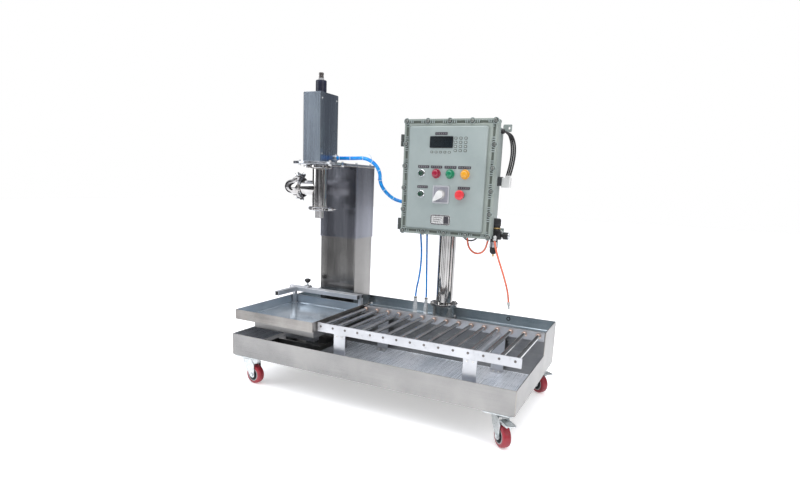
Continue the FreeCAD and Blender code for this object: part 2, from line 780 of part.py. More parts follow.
def make_door():
    """The box cover: a flange with a raised panel, hinged on the left."""
    flange = block(box_left, box_right, box_front, door_back, box_bottom, box_top)
    panel = block(panel_left, panel_right, panel_front, box_front, panel_bottom, panel_top)
    recess = block(body_left + case_wall, body_right - case_wall, box_front, door_back,
                   body_bottom + case_wall, body_top - case_wall)
    door = fuse([flange, panel]).cut(recess)
    hinges = []
    for z in hinge_heights():
        knuckle = rod(hinge_radius, hinge_height / 2 - body_gap, hinge_x, hinge_y,
                      z + body_gap)
        leaf = block(hinge_x, box_left + 2, hinge_y - 5, hinge_y + 5, z + body_gap,
                     z + hinge_height / 2)
        bore = rod(hinge_pin_radius + run_gap, hinge_height, hinge_x, hinge_y, z)
        hinges.append(fuse([knuckle, leaf]).cut(bore))
    for _, (x, z) in button_places.items():
        door = door.cut(rod(button_radius + run_gap, panel_rise + door_thickness, x,
                            panel_front, z, Y_AXIS))
    door = door.cut(rod(estop_stem + run_gap, panel_rise + door_thickness, estop_place[0],
                        panel_front, estop_place[1], Y_AXIS))
    door = fuse([door] + hinges)
    bolts = []
    for x, z in bolt_places():
        door = door.cut(rod(4, 16, x, box_front, z, Y_AXIS))
        bolts.append(fuse([rod(4, 16, x, box_front, z, Y_AXIS),
                           rod(bolt_radius, bolt_head, x, box_front - bolt_head, z, Y_AXIS)]))
    save("box_door", [door] + bolts)


def hinge_heights():
    """Lower ends of the two hinges."""
    return (box_bottom + 37, box_top - 37 - hinge_height)


def make_box_case():
    """The cast case with its flange, hinge knuckles and four wall lugs."""
    flange = block(box_left, box_right, flange_front, flange_back, box_bottom, box_top)
    body = block(body_left, body_right, flange_front, body_back, body_bottom, body_top)
    hollow = block(body_left + case_wall, body_right - case_wall, flange_front,
                   body_back - case_wall, body_bottom + case_wall, body_top - case_wall)
    lugs = []
    for x0, x1 in ((body_left - lug_length, body_left + 2), (body_right - 2,
                                                             body_right + lug_length)):
        for z0 in (body_bottom - 12, body_top - lug_height + 12):
            lug = block(x0, x1, body_back - lug_thickness, body_back, z0, z0 + lug_height)
            hole_x = x0 + 10 if x0 < 0 else x1 - 10
            lugs.append(lug.cut(rod(5, lug_thickness, hole_x, body_back - lug_thickness,
                                    z0 + lug_height / 2, Y_AXIS)))
    case = fuse([flange, body] + lugs).cut(hollow)
    pieces = []
    for z in hinge_heights():
        knuckle = rod(hinge_radius, hinge_height / 2, hinge_x, hinge_y, z - hinge_height / 2)
        leaf = block(hinge_x - 5, box_left + 2, hinge_y, flange_back, z - hinge_height / 2, z)
        leaf = leaf.cut(block(box_left - 2 * body_gap, box_left + 3, hinge_y - 1,
                              flange_front, z - hinge_height / 2, z))
        pin = rod(hinge_pin_radius, hinge_height - 4, hinge_x, hinge_y, z - hinge_height / 2)
        pieces.append(fuse([knuckle, leaf, pin]))
    save("box_case", fuse([case] + pieces))


def make_control_gear():
    """Mounting plate, controller, relays and the air valve island inside the case."""
    back = body_back - case_wall
    plate = block(body_left + 30, body_right - 30, back - 12, back - 9, body_bottom + 40,
                  body_top - 40)
    studs = [rod(4, 9, x, back - 9, z, Y_AXIS)
             for x in (body_left + 45, body_right - 45)
             for z in (body_bottom + 55, body_top - 55)]
    face = back - 12
    left = body_left + 50
    controller = block(left, left + 120, face - 45, face, body_top - 190, body_top - 100)
    supply = block(left + 145, left + 205, face - 50, face, body_top - 190, body_top - 90)
    relays = [block(left + 4 + 26 * index, left + 24 + 26 * index, face - 40, face,
                    body_bottom + 170, body_bottom + 230) for index in range(6)]
    island = [block(left + 6 + 28 * index, left + 30 + 28 * index, face - 38, face,
                    body_bottom + 70, body_bottom + 140) for index in range(4)]
    save("control_gear", [fuse([plate] + studs), controller, supply] + relays + island)


def make_door_fittings():
    """Window, keys, label plates, bezels, lamps and the selector's plate on the door."""
    y = panel_front
    pieces = []
    x, z = display_place
    width, height = display_size
    pieces.append(block(x - width / 2, x + width / 2, y - 2, y, z - height / 2, z + height / 2))
    half_key = key_size / 2
    keys = [(kx, kz) for kx in key_columns for kz in key_rows]
    keys += [(kx, function_row_z) for kx in function_keys]
    for kx, kz in keys:
        pieces.append(block(kx - half_key, kx + half_key, y - 2, y, kz - half_key, kz + half_key))
    for lx, lz, length in label_places:
        pieces.append(block(lx - length / 2, lx + length / 2, y - 1.2, y,
                            lz - label_height / 2, lz + label_height / 2))
    nx, nz, width, height = name_plate
    pieces.append(block(nx - width / 2, nx + width / 2, y - 1.2, y, nz - height / 2,
                        nz + height / 2))
    for bx, bz in button_places.values():
        pieces.append(pipe(bezel_radius, button_radius + run_gap, bezel_height, bx,
                           y - bezel_height, bz, Y_AXIS))
    for lamp_x in lamp_places.values():
        collar = rod(collar_radius, bezel_height, lamp_x, y - bezel_height, row_one_z, Y_AXIS)
        lens = rod(lamp_radius, lamp_height, lamp_x, y - bezel_height - lamp_height, row_one_z,
                   Y_AXIS)
        pieces.append(fuse([collar, lens]))
    ex, ez = estop_place
    pieces.append(pipe(estop_stem + 6, estop_stem + run_gap, bezel_height, ex,
                       y - bezel_height, ez, Y_AXIS))
    sx, sz = selector_place
    half = selector_plate / 2
    plate = block(sx - half, sx + half, y - 3, y, sz - half, sz + half)
    stub = rod(6, 8, sx, y - 11, sz, Y_AXIS)
    pieces.append(fuse([plate, stub]))
    save("door_fittings", pieces)


def make_controls():
    """The pieces on the door that a hand moves."""
    y = panel_front
    for name, (x, z) in button_places.items():
        save("push_button_" + name, rod(button_radius, 24, x, y - bezel_height - button_height,
                                        z, Y_AXIS))
    ex, ez = estop_place
    cap_y = y - bezel_height - button_travel - 2 - estop_height
    cap = rod(estop_radius, estop_height, ex, cap_y, ez, Y_AXIS)
    stem = rod(estop_stem, 30, ex, cap_y, ez, Y_AXIS)
    save("emergency_stop", fuse([cap, stem]))
    sx, sz = selector_place
    y1 = y - 3 - body_gap
    y0 = y1 - selector_height
    round_part = rod(selector_radius, selector_height, sx, y0, sz, Y_AXIS)
    tail = block(sx, sx + selector_tail, y0, y1, sz - 5, sz + 5)
    bore = rod(6 + run_gap, 10, sx, y1 - 10, sz, Y_AXIS)
    knob = fuse([round_part, tail]).cut(bore)
    save("selector_knob", turned(knob, -selector_turn, sx, 0, Y_AXIS, sz))


def make_post():
    """The round post: two discs and a socket on the deck, and the tube in it."""
    foot = fuse([rod(post_disc_radius, post_disc, post_x, post_y, deck_z),
                 rod(post_socket_radius, post_socket_height, post_x, post_y, deck_z),
                 rod(post_disc_radius, post_disc, post_x, post_y,
                     deck_z + post_socket_height - post_disc)])
    foot = foot.cut(rod(post_radius, post_socket_height, post_x, post_y, deck_z))
    top_plate = 6
    tube = pipe(post_radius, post_radius - post_wall, body_bottom - top_plate - deck_z,
                post_x, post_y, deck_z)
    cap = block(post_x - post_disc_radius, post_x + post_disc_radius, flange_back + body_gap,
                post_y + post_disc_radius, body_bottom - top_plate, body_bottom)
    bolts = []
    for index in range(4):
        angle = math.radians(45 + 90 * index)
        bx = post_x + (post_socket_radius + 6) * math.cos(angle)
        by = post_y + (post_socket_radius + 6) * math.sin(angle)
        bolts.append(rod(post_bolt_radius, 5, bx, by, deck_z + post_socket_height))
        bolts.append(rod(post_bolt_radius, 5, bx, by, deck_z + post_disc))
    save("box_post", [foot, fuse([tube, cap])] + bolts)


def make_air_set():
    """The filter regulator beside the box, with its gauge, bowl and knob."""
    x0 = regulator_x - regulator_width / 2
    x1 = regulator_x + regulator_width / 2
    y0 = regulator_y - regulator_depth / 2
    y1 = regulator_y + regulator_depth / 2
    body = block(x0, x1, y0, y1, regulator_bottom, regulator_top)
    bonnet = rod(regulator_depth / 2, regulator_bonnet, regulator_x, regulator_y, regulator_top)
    stub = rod(6, 14, regulator_x, regulator_y, regulator_top + regulator_bonnet)
    bracket = block(body_right, x0, y0 + 4, y1 - 4, body_bottom, regulator_top)
    gauge = rod(gauge_radius, gauge_length, x1, regulator_y,
                (regulator_bottom + regulator_top) / 2, X_AXIS)
    bowl = rod(bowl_radius, bowl_height, bowl_x, regulator_y, regulator_bottom - bowl_height)
    drain = rod(4, drain_length, bowl_x, regulator_y,
                regulator_bottom - bowl_height - drain_length)
    loop_end = orange_loop_route[-1]
    inlet_start = orange_inlet_route[0]
    outlet = fuse([rod(small_gland_radius, 20, loop_end[0], loop_end[1], loop_end[2]),
                   rod(small_gland_radius - 1, x0 - loop_end[0], loop_end[0], loop_end[1],
                       loop_end[2] + 13, X_AXIS)])
    inlet = fuse([rod(small_gland_radius, 20, inlet_start[0], inlet_start[1], inlet_start[2]),
                  rod(small_gland_radius - 1, y0 - inlet_start[1], inlet_start[0],
                      inlet_start[1], inlet_start[2] + 13, Y_AXIS)])
    save("air_regulator", [fuse([body, bonnet, stub]), bracket, gauge, fuse([bowl, drain]),
                           outlet, inlet])
    knob_z = regulator_top + regulator_bonnet + body_gap
    knob = rod(regulator_knob_radius, regulator_knob_height, regulator_x, regulator_y, knob_z)
    socket = rod(6 + run_gap, 14, regulator_x, regulator_y, knob_z)
    save("regulator_knob", knob.cut(socket))


def make_hose_fittings():
    """Glands in the box, the two air unions on the deck and the plug block at its side."""
    pieces = []
    for route in (blue_left_route, blue_right_route, orange_loop_route):
        x, y, z = route[0]
        pieces.append(rod(small_gland_radius, body_bottom - z, x, y, z))
    for route in (blue_left_route, blue_right_route):
        x, y, z = route[-1]
        union = fuse([rod(11, 14, x, y, deck_z), rod(8, 60, x, y, deck_z),
                      rod(10, 18, x, y, deck_z + 34),
                      rod(small_gland_radius, z - deck_z - 60, x, y, deck_z + 60)])
        pieces.append(union)
    x, y, z = bundle_route[-1]
    pieces.append(rod(gland_radius + 4, body_left - x, x, y, z, X_AXIS))
    x, y, z = side_cable_route[0]
    pieces.append(rod(gland_radius, x - body_right, body_right, y, z, X_AXIS))
    x, y, z = side_cable_route[-1]
    plug_block = block(body_right, x + 14, y - 14, y + 14, z - 50, z)
    pieces.append(plug_block)
    save("hose_fittings", pieces)


def make_cords():
    """The hose bundle to the head, the air hoses, the side cable and the air plug."""
    cord("head_hose_bundle", bundle_route, bundle_radius)
    cord("blue_hose_left", blue_left_route, air_hose_radius)
    cord("blue_hose_right", blue_right_route, air_hose_radius)
    cord("orange_loop_hose", orange_loop_route, air_hose_radius)
    cord("orange_inlet_hose", orange_inlet_route, air_hose_radius)
    cord("side_cable", side_cable_route, cable_radius)
    end = V(*orange_inlet_route[-1])
    along = (end - V(*orange_inlet_route[-2])).normalize()
    shank = Part.makeCylinder(plug_radius, plug_length * 0.5, end, along)
    nose = Part.makeCylinder(plug_radius * 0.65, plug_length * 0.5,
                             end + along * (plug_length * 0.5), along)
    save("air_plug", fuse([shank, nose]))


os.makedirs("parts", exist_ok=True)
make_base_tray()
make_rear_plinth()
make_casters()
make_weigh_scale()
make_weigh_pan()
make_guide()
make_conveyor()
make_column()
make_head()
make_valve()
make_door()
make_box_case()
make_control_gear()
make_door_fittings()
make_controls()
make_post()
make_air_set()
make_hose_fittings()
make_cords()
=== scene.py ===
import math
import bpy
import numpy as np
from mathutils import Matrix
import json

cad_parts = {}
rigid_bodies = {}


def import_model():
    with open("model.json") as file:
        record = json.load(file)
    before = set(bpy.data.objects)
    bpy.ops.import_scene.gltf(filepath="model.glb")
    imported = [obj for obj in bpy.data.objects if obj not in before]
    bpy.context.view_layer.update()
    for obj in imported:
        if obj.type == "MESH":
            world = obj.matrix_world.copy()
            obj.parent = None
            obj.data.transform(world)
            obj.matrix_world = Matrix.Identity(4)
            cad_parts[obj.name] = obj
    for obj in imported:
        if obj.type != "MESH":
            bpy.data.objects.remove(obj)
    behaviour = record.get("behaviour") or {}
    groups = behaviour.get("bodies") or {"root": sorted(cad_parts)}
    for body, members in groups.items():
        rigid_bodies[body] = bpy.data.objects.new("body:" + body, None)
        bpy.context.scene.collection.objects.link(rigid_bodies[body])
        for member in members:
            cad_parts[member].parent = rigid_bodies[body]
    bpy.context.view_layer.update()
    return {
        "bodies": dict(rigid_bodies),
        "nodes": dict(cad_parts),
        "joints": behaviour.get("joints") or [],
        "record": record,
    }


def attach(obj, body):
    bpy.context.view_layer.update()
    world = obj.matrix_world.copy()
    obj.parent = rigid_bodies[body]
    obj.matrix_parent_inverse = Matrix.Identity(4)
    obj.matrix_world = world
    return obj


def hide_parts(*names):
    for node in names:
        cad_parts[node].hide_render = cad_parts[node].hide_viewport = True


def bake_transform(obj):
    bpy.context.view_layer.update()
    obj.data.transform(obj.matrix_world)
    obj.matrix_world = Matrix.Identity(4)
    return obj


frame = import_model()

# Weigh filling machine on casters. Shapes are worked out in millimetres on the same frame as
# the CAD parts: X along the long side, Y to the back, Z up, origin on the floor.

MM = 0.001

# World directions of a shape's own x, y and z when its z axis faces each way.
FACING = {
    "up": np.array([[1, 0, 0], [0, 1, 0], [0, 0, 1]], float),
    "down": np.array([[1, 0, 0], [0, -1, 0], [0, 0, -1]], float),
    "front": np.array([[1, 0, 0], [0, 0, 1], [0, -1, 0]], float),
    "back": np.array([[-1, 0, 0], [0, 0, 1], [0, 1, 0]], float),
    "right": np.array([[0, 1, 0], [0, 0, 1], [1, 0, 0]], float),
    "left": np.array([[0, -1, 0], [0, 0, 1], [-1, 0, 0]], float),
}


# ---------------------------------------------------------------- surfaces

def unit(vectors):
    """Vectors scaled to a length of one."""
    return vectors / np.linalg.norm(vectors, axis=-1, keepdims=True)


def turned(degrees):
    """The matrix that turns rows of points about the z axis."""
    a = math.radians(degrees)
    return np.array([[math.cos(a), math.sin(a), 0], [-math.sin(a), math.cos(a), 0], [0, 0, 1]])


class Shell:
    """A grid of points: rows run along a profile, columns run round an outline.

    loop joins the last row to the first; otherwise a flat face closes each end. A finish of
    (first, second, row) changes from one to the other at a row."""

    def __init__(self, grid, finish, loop=False, ends=(True, True)):
        self.grid = np.asarray(grid, float)
        self.finish = finish
        self.loop = loop
        self.ends = ends

    def put(self, x=0, y=0, z=0, facing="up", spin=0):
        """The shell spun about its own z axis, faced one way and moved to a point."""
        way = FACING[facing] if isinstance(facing, str) else np.asarray(facing, float)
        grid = self.grid @ turned(spin) @ way + np.array([x, y, z], float)
        return Shell(grid, self.finish, self.loop, self.ends)


def spun(shells, degrees, x, y):
    """Shells turned about an upright axis through (x, y)."""
    turn = turned(degrees)
    centre = np.array([x, y, 0], float)
    return [Shell((s.grid - centre) @ turn + centre, s.finish, s.loop, s.ends) for s in shells]


def eased(points, radius, steps=3, closed=False):
    """A broken line with rounded corners.

    Each corner becomes the curve (1-t)^2 a + 2t(1-t) b + t^2 c, where b is the corner and a and
    c lie on its two sides, the ease radius away or half the side if that is less."""
    p = np.asarray(points, float)
    if closed:
        before, here, after = np.roll(p, 1, axis=0), p, np.roll(p, -1, axis=0)
    else:
        before, here, after = p[:-2], p[1:-1], p[2:]
    side_in = np.linalg.norm(before - here, axis=1, keepdims=True)
    side_out = np.linalg.norm(after - here, axis=1, keepdims=True)
    reach = np.minimum(np.reshape(radius, (-1, 1)), 0.49 * np.minimum(side_in, side_out))
    a = (here + (before - here) / side_in * reach)[:, None]
    c = (here + (after - here) / side_out * reach)[:, None]
    t = np.linspace(0, 1, steps + 1)[None, :, None]
    curve = (1 - t) ** 2 * a + 2 * t * (1 - t) * here[:, None] + t ** 2 * c
    curve = curve.reshape(-1, p.shape[1])
    return curve if closed else np.vstack([p[:1], curve, p[-1:]])


def oblong(width, height, corner, steps=4):
    """Outline of a rectangle with round corners, as a function of how far it is drawn in."""
    start = np.radians(np.arange(4) * 90)[:, None]
    angle = (start + np.radians(np.linspace(0, 90, steps + 1))[None, :]).ravel()
    sign_x = np.repeat([1, -1, -1, 1], steps + 1)
    sign_y = np.repeat([1, 1, -1, -1], steps + 1)

    def ring(inset):
        r = max(corner - inset, 0.15)
        x = sign_x * (width / 2 - inset - r) + r * np.cos(angle)
        y = sign_y * (height / 2 - inset - r) + r * np.sin(angle)
        return np.stack([x, y], axis=1)
    return ring


def outline_of(points):
    """Outline from corner points; drawing in moves each corner along its mitre."""
    p = np.asarray(points, float)
    edge = np.roll(p, -1, axis=0) - p
    edge /= np.linalg.norm(edge, axis=1, keepdims=True)
    inward = np.stack([-edge[:, 1], edge[:, 0]], axis=1)
    last = np.roll(inward, 1, axis=0)
    mitre = (inward + last) / (1 + np.sum(inward * last, axis=1, keepdims=True))

    def ring(inset):
        return p + inset * mitre
    return ring


def raised(outline, profile, finish, loop=False, ends=(True, True)):
    """An outline lifted through a profile of (drawn-in distance, height) rows."""
    rows = [np.column_stack([outline(inset), np.full(len(outline(0)), height)]) for inset,
            height in profile]
    return Shell(np.stack(rows), finish, loop, ends)


def plate(outline, depth, finish, ease=0.6):
    """A flat piece of an outline, with both its edges eased."""
    profile = eased([(ease, 0), (0, 0), (0, depth), (ease, depth)], ease)
    return raised(outline, profile, finish)


def box_seen(x0, x1, y0, y1, z0, z1, facing):
    """A box's width, height and depth from the way it faces, and the middle of its back."""
    low, high = np.array([x0, y0, z0], float), np.array([x1, y1, z1], float)
    way = FACING[facing]
    width, height, depth = np.abs(way @ (high - low))
    at = (low + high) / 2 - way[2] * depth / 2
    return width, height, depth, at


def block(x0, x1, y0, y1, z0, z1, finish, facing="up", corner=1.0, ease=0.5):
    """A box between two corners, with round corners about the way it faces."""
    width, height, depth, at = box_seen(x0, x1, y0, y1, z0, z1, facing)
    corner = min(corner, 0.49 * width, 0.49 * height)
    ease = min(ease, 0.45 * depth, 0.45 * width, 0.45 * height)
    return plate(oblong(width, height, corner), depth, finish, ease).put(*at, facing=facing)


def lathe(profile, finish, around=40, ease=0.0, loop=False, steps=3):
    """A profile of (radius, height) rows carried once round the z axis."""
    rows = np.asarray(profile, float)
    if ease:
        rows = eased(rows, ease, steps, closed=loop)
    rows = np.column_stack([np.maximum(rows[:, 0], 0.05), rows[:, 1]])
    angle = np.linspace(0, 2 * np.pi, around, endpoint=False)
    grid = np.stack([rows[:, :1] * np.cos(angle), rows[:, :1] * np.sin(angle),
                     np.repeat(rows[:, 1:], around, axis=1)], axis=2)
    return Shell(grid, finish, loop)


def disc(radius, z0, z1, finish, around=40, ease=0.0):
    """A solid round piece between two heights."""
    return lathe([(0.1, z0), (radius, z0), (radius, z1), (0.1, z1)], finish, around, ease)


def washer(bore, radius, z0, z1, finish, around=40, ease=0.0):
    """A round piece between two heights with a straight bore."""
    return lathe([(bore, z0), (radius, z0), (radius, z1), (bore, z1)], finish, around, ease,
                 loop=True)


def swept(path, radius, finish, around=16, up=(0, 0, 1), loop=False, section=None):
    """A round or given section carried along a path.

    The section stands square to the path: its first axis is up crossed with the path's own
    direction, its second is the direction crossed with the first."""
    line = np.asarray(path, float)
    if loop:
        along = np.roll(line, -1, axis=0) - np.roll(line, 1, axis=0)
    else:
        along = np.gradient(line, axis=0)
    along = unit(along)
    first = unit(np.cross(np.asarray(up, float), along))
    second = np.cross(along, first)
    if section is None:
        angle = np.linspace(0, 2 * np.pi, around, endpoint=False)
        section = np.stack([np.cos(angle), np.sin(angle)], axis=1)
    size = np.broadcast_to(np.asarray(radius, float).reshape(-1, 1, 1), (len(line), 1, 1))
    grid = line[:, None] + size * (section[None, :, :1] * first[:, None]
                                   + section[None, :, 1:] * second[:, None])
    return Shell(grid, finish, loop)


def hollow(x0, x1, y0, y1, z0, z1, wall, finish, facing="up", corner=3.0, ease=0.6):
    """A rectangular tube with open ends."""
    width, height, depth, at = box_seen(x0, x1, y0, y1, z0, z1, facing)
    profile = eased([(0, 0), (0, depth), (wall, depth), (wall, 0)], ease, 2, closed=True)
    shell = raised(oblong(width, height, corner), profile, finish, loop=True)
    return shell.put(*at, facing=facing)


def basin(x0, x1, y0, y1, z0, z1, wall, floor, outside, inside, corner=3.0, ease=0.9):
    """A folded tray: up the outside, over the rim and down the inside to its floor."""
    profile = eased([(6, z0), (0, z0), (0, z1), (wall, z1), (wall, floor), (wall + 6, floor)],
                    [[1.5], [ease], [ease], [3.0]], 3)
    shell = raised(oblong(x1 - x0, y1 - y0, corner), profile, (outside, inside, 12))
    return shell.put((x0 + x1) / 2, (y0 + y1) / 2, 0)


def bar(x0, x1, y, z, radius, finish, facing, around=24, ease=0.4):
    """A round bar along X or Y with eased ends; y and z, or x and z, place its axis."""
    shell = disc(radius, 0, x1 - x0, finish, around, ease)
    return shell.put(x0, y, z, facing=facing) if facing == "right" else shell.put(y, x0, z,
                                                                                  facing=facing)


def fluted(profile, flutes, depth, finish, around=72, ease=0.5):
    """A lathe shape whose radius is drawn in by depth (1 - cos(flutes a)) / 2 at its widest."""
    shell = lathe(profile, finish, around, ease)
    rows = np.hypot(shell.grid[..., 0], shell.grid[..., 1])
    angle = np.arctan2(shell.grid[..., 1], shell.grid[..., 0])
    weight = np.clip((rows / rows.max() - 0.6) / 0.3, 0, 1)
    scale = 1 - depth / rows.max() * weight * (1 - np.cos(flutes * angle)) / 2
    shell.grid[..., :2] *= scale[..., None]
    return shell


def weld(path, finish="weld bead"):
    """A fine bead along a straight line, of radius 1.5 + 0.25 sin(2.1 k) at its kth point."""
    ends = np.asarray(path, float)
    count = int(np.linalg.norm(ends[1] - ends[0]) / 1.6) + 3
    line = ends[0] + (ends[1] - ends[0]) * np.linspace(0, 1, count)[:, None]
    up = (0, 1, 0.3) if abs(ends[1] - ends[0])[2] > 1 else (0, 0, 1)
    return swept(line, 1.5 + 0.25 * np.sin(np.arange(count) * 2.1), finish, 8, up=up)


def hex_head(across, height, finish, socket=0):
    """A hexagon with a chamfered top; with a socket, a round head with a dark key hole."""
    if socket:
        head = lathe([(0.1, 0), (across / 2, 0), (across / 2, height), (socket / 2, height),
                      (socket / 2 * 0.9, height * 0.45), (0.1, height * 0.45)], finish, 20, 0.5)
        return head
    angle = np.radians(np.arange(6) * 60 + 30)
    corners = across / math.sqrt(3) * np.stack([np.cos(angle), np.sin(angle)], axis=1)
    profile = [(0.3, 0), (0, 0.3), (0, height * 0.75), (across * 0.07, height)]
    return raised(outline_of(corners), profile, finish)


def make(name, shells, body, stands_for=(), sharp=34, weigh=True):
    """One piece from closed shells; it rides on a body, or, given two bodies and two end points, is
    left in place on no body, and stands for CAD nodes."""
    points, faces, tones, finishes = [], [], [], []
    count = 0
    for shell in shells:
        rows, columns = shell.grid.shape[:2]
        index = np.arange(rows * columns).reshape(rows, columns) + count
        nearby = np.roll(index, -1, axis=1)
        low, high = (index, np.roll(index, -1, axis=0)) if shell.loop else (index[:-1], index[1:])
        low_next = nearby if shell.loop else nearby[:-1]
        high_next = np.roll(nearby, -1, axis=0) if shell.loop else nearby[1:]
        quads = np.stack([low, low_next, high_next, high], axis=2).reshape(-1, 4).tolist()
        if not shell.loop:
            quads += [index[0, ::-1].tolist()] if shell.ends[0] else []
            quads += [index[-1].tolist()] if shell.ends[1] else []
        first, second, row = (shell.finish if isinstance(shell.finish, tuple)
                              else (shell.finish, shell.finish, 0))
        for finish in (first, second):
            if finish not in finishes:
                finishes.append(finish)
        sides = rows * columns if shell.loop else (rows - 1) * columns
        tone = np.where(np.arange(len(quads)) < row * columns, finishes.index(first),
                        finishes.index(second))
        if len(quads) > sides and shell.ends[0] and not shell.loop:
            tone[sides] = finishes.index(first if row else second)
        tones += tone.tolist()
        faces += quads
        points.append(shell.grid.reshape(-1, 3))
        count += rows * columns
    mesh = bpy.data.meshes.new(name)
    mesh.from_pydata((np.vstack(points) * MM).tolist(), [], faces)
    for finish in finishes:
        mesh.materials.append(FINISH[finish])
    mesh.polygons.foreach_set("material_index", tones)
    mesh.polygons.foreach_set("use_smooth", [True] * len(faces))
    mesh.update()
    mesh.set_sharp_from_angle(angle=math.radians(sharp))
    piece = bpy.data.objects.new(name, mesh)
    bpy.context.scene.collection.objects.link(piece)
    if weigh:
        weighted = piece.modifiers.new("even shading", "WEIGHTED_NORMAL")
        weighted.keep_sharp = True
        weighted.weight = 80
    if isinstance(body, tuple):
        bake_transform(piece)
    else:
        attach(piece, body)
    if stands_for:
        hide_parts(*stands_for)
    return piece


def dress(node, shells, body):
    """The piece that stands for one CAD node."""
    return make(node + "_skin", shells, body, [node])


# ---------------------------------------------------------------- finishes

FINISH = {}


class Nodes:
    """A node tree under construction."""

    def __init__(self, tree):
        self.tree = tree

    def node(self, kind, inputs=(), **settings):
        """A new node with its settings, and its inputs as values or links."""
        made = self.tree.nodes.new("ShaderNode" + kind)
        for key, value in settings.items():
            setattr(made, key, value)
        for key, value in dict(inputs).items():
            self.feed(made.inputs[key], value)
        return made

    def feed(self, socket, value):
        """A link to the socket where the value is one, and otherwise its value."""
        if isinstance(value, bpy.types.NodeSocket):
            self.tree.links.new(value, socket)
        else:
            socket.default_value = value

    def ramp(self, value, stops, tint):
        """A value carried softly through stops of (place, brightness), in one tint."""
        made = self.node("ValToRGB", {0: value})
        made.color_ramp.interpolation = "EASE"
        elements = made.color_ramp.elements
        elements[0].position = stops[0][0]
        elements[1].position = stops[-1][0]
        for place, _ in stops[1:-1]:
            elements.new(place)
        for element, (place, bright) in zip(elements, stops):
            element.position = place
            element.color = (*(bright * share for share in tint), 1)
        return made.outputs[0]


class Recipe(Nodes):
    """A finish under construction: its nodes, its shader and the piece's own coordinates."""

    def __init__(self, name):
        self.material = bpy.data.materials.new(name.replace(" ", "_"))
        self.material.use_nodes = True
        super().__init__(self.material.node_tree)
        self.shader = self.tree.nodes["Principled BSDF"]
        spot = self.tree.nodes.new("ShaderNodeTexCoord")
        self.spot = spot.outputs["Object"]
        self.slope = spot.outputs["Normal"]
        FINISH[name] = self.material

    def set(self, **values):
        """Inputs of the shader by name, an underscore standing for a space."""
        for key, value in values.items():
            self.feed(self.shader.inputs[key.replace("_", " ")], value)

    def stretched(self, x, y, z):
        """Coordinates scaled along each axis, so many wavelengths to the metre."""
        return self.node("Mapping", {"Vector": self.spot, "Scale": (x, y, z)}).outputs[0]

    def cloud(self, scale, detail=3.0, rough=0.55, vector=None):
        """Soft noise between 0 and 1."""
        return self.node("TexNoise", {"Vector": vector or self.spot, "Scale": scale,
                                      "Detail": detail, "Roughness": rough}).outputs[0]

    def spread(self, value, low, high, start=0.3, end=0.7):
        """A value carried from one range to another."""
        return self.node("MapRange", {"Value": value, 1: start, 2: end, 3: low, 4: high}).outputs[0]

    def sums(self, how, a, b):
        """Two values joined by one operation."""
        return self.node("Math", {0: a, 1: b}, operation=how).outputs[0]

    def tint(self, value, dark, light):
        """A colour between two, by a value between 0 and 1."""
        return self.node("Mix", {0: value, 6: (*dark, 1), 7: (*light, 1)},
                         data_type="RGBA").outputs[2]

    def relief(self, height, distance, strength=1.0):
        """Bumps of a height in millimetres."""
        made = self.node("Bump", {"Height": height, "Distance": distance * MM,
                                  "Strength": strength})
        self.feed(self.shader.inputs["Normal"], made.outputs[0])


def lined(recipe, along, fine=900.0, long=5.0):
    """Noise drawn out into lines along one axis, and along the next axis on faces square to it."""
    stretch = {"X": (long, fine, fine), "Y": (fine, long, fine), "Z": (fine, fine, long)}
    other = {"X": "Y", "Y": "X", "Z": "X"}[along]
    first = recipe.cloud(1.0, 4.0, 0.6, recipe.stretched(*stretch[along]))
    second = recipe.cloud(1.0, 4.0, 0.6, recipe.stretched(*stretch[other]))
    parts = recipe.node("SeparateXYZ", {0: recipe.slope})
    facing = recipe.sums("ABSOLUTE", parts.outputs["XYZ".index(along)], 0.0)
    square = recipe.sums("GREATER_THAN", facing, 0.7)
    return recipe.node("Mix", {0: square, 2: first, 3: second}).outputs[0]


def brushed(name, dark, light, rough=(0.22, 0.42), along="X", fine=900.0, smear=0.5,
            painted_reflection_bands=0.0, metal=1.0):
    """Brushed sheet: fine lines, large handling marks, soft streaks of painted reflection and a few
    faint stains.
    """
    r = Recipe(name)
    lines = lined(r, along, fine)
    marks = r.cloud(6.0, 5.0, 0.6)
    # Painted reflection: soft streaks along the brushing, mixed into the handling marks and so into
    # both colour and roughness.
    if painted_reflection_bands:
        stretch = {"X": (0.7, 9.0, 9.0), "Y": (9.0, 0.7, 9.0), "Z": (13.0, 9.0, 0.5)}[along]
        painted_reflection = r.cloud(1.0, 1.0, 0.4, r.stretched(*stretch))
        marks = r.sums("ADD", r.sums("MULTIPLY", marks, 1 - painted_reflection_bands), r.sums("MULTIPLY", painted_reflection,
                                                                           painted_reflection_bands))
    stain = r.spread(r.cloud(2.2, 4.0, 0.65), 0.0, 1.0, 0.55, 0.75)
    tone = r.sums("ADD", r.sums("MULTIPLY", lines, 0.3), r.sums("MULTIPLY", marks, 0.7))
    r.set(Base_Color=r.tint(r.spread(tone, 0, 1, 0.36, 0.64), dark, light), Metallic=metal)
    grip = r.sums("ADD", r.spread(lines, *rough), r.sums("MULTIPLY", stain, 0.10 * smear))
    r.set(Roughness=r.sums("ADD", grip, r.spread(marks, -0.04 * smear, 0.06 * smear)))
    r.relief(lines, 0.02, 0.6)


def polished(name, dark, light, rough=(0.05, 0.14)):
    """Mirror finish with wipe marks and a slight waviness."""
    r = Recipe(name)
    wipe = r.cloud(14.0, 4.0, 0.6)
    scratch = r.cloud(1.0, 3.0, 0.6, r.stretched(60, 60, 900))
    r.set(Base_Color=r.tint(r.spread(wipe, 0, 1), dark, light), Metallic=1.0)
    r.set(Roughness=r.sums("ADD", r.spread(wipe, *rough), r.spread(scratch, 0.0, 0.03)))
    r.relief(wipe, 0.006, 0.25)


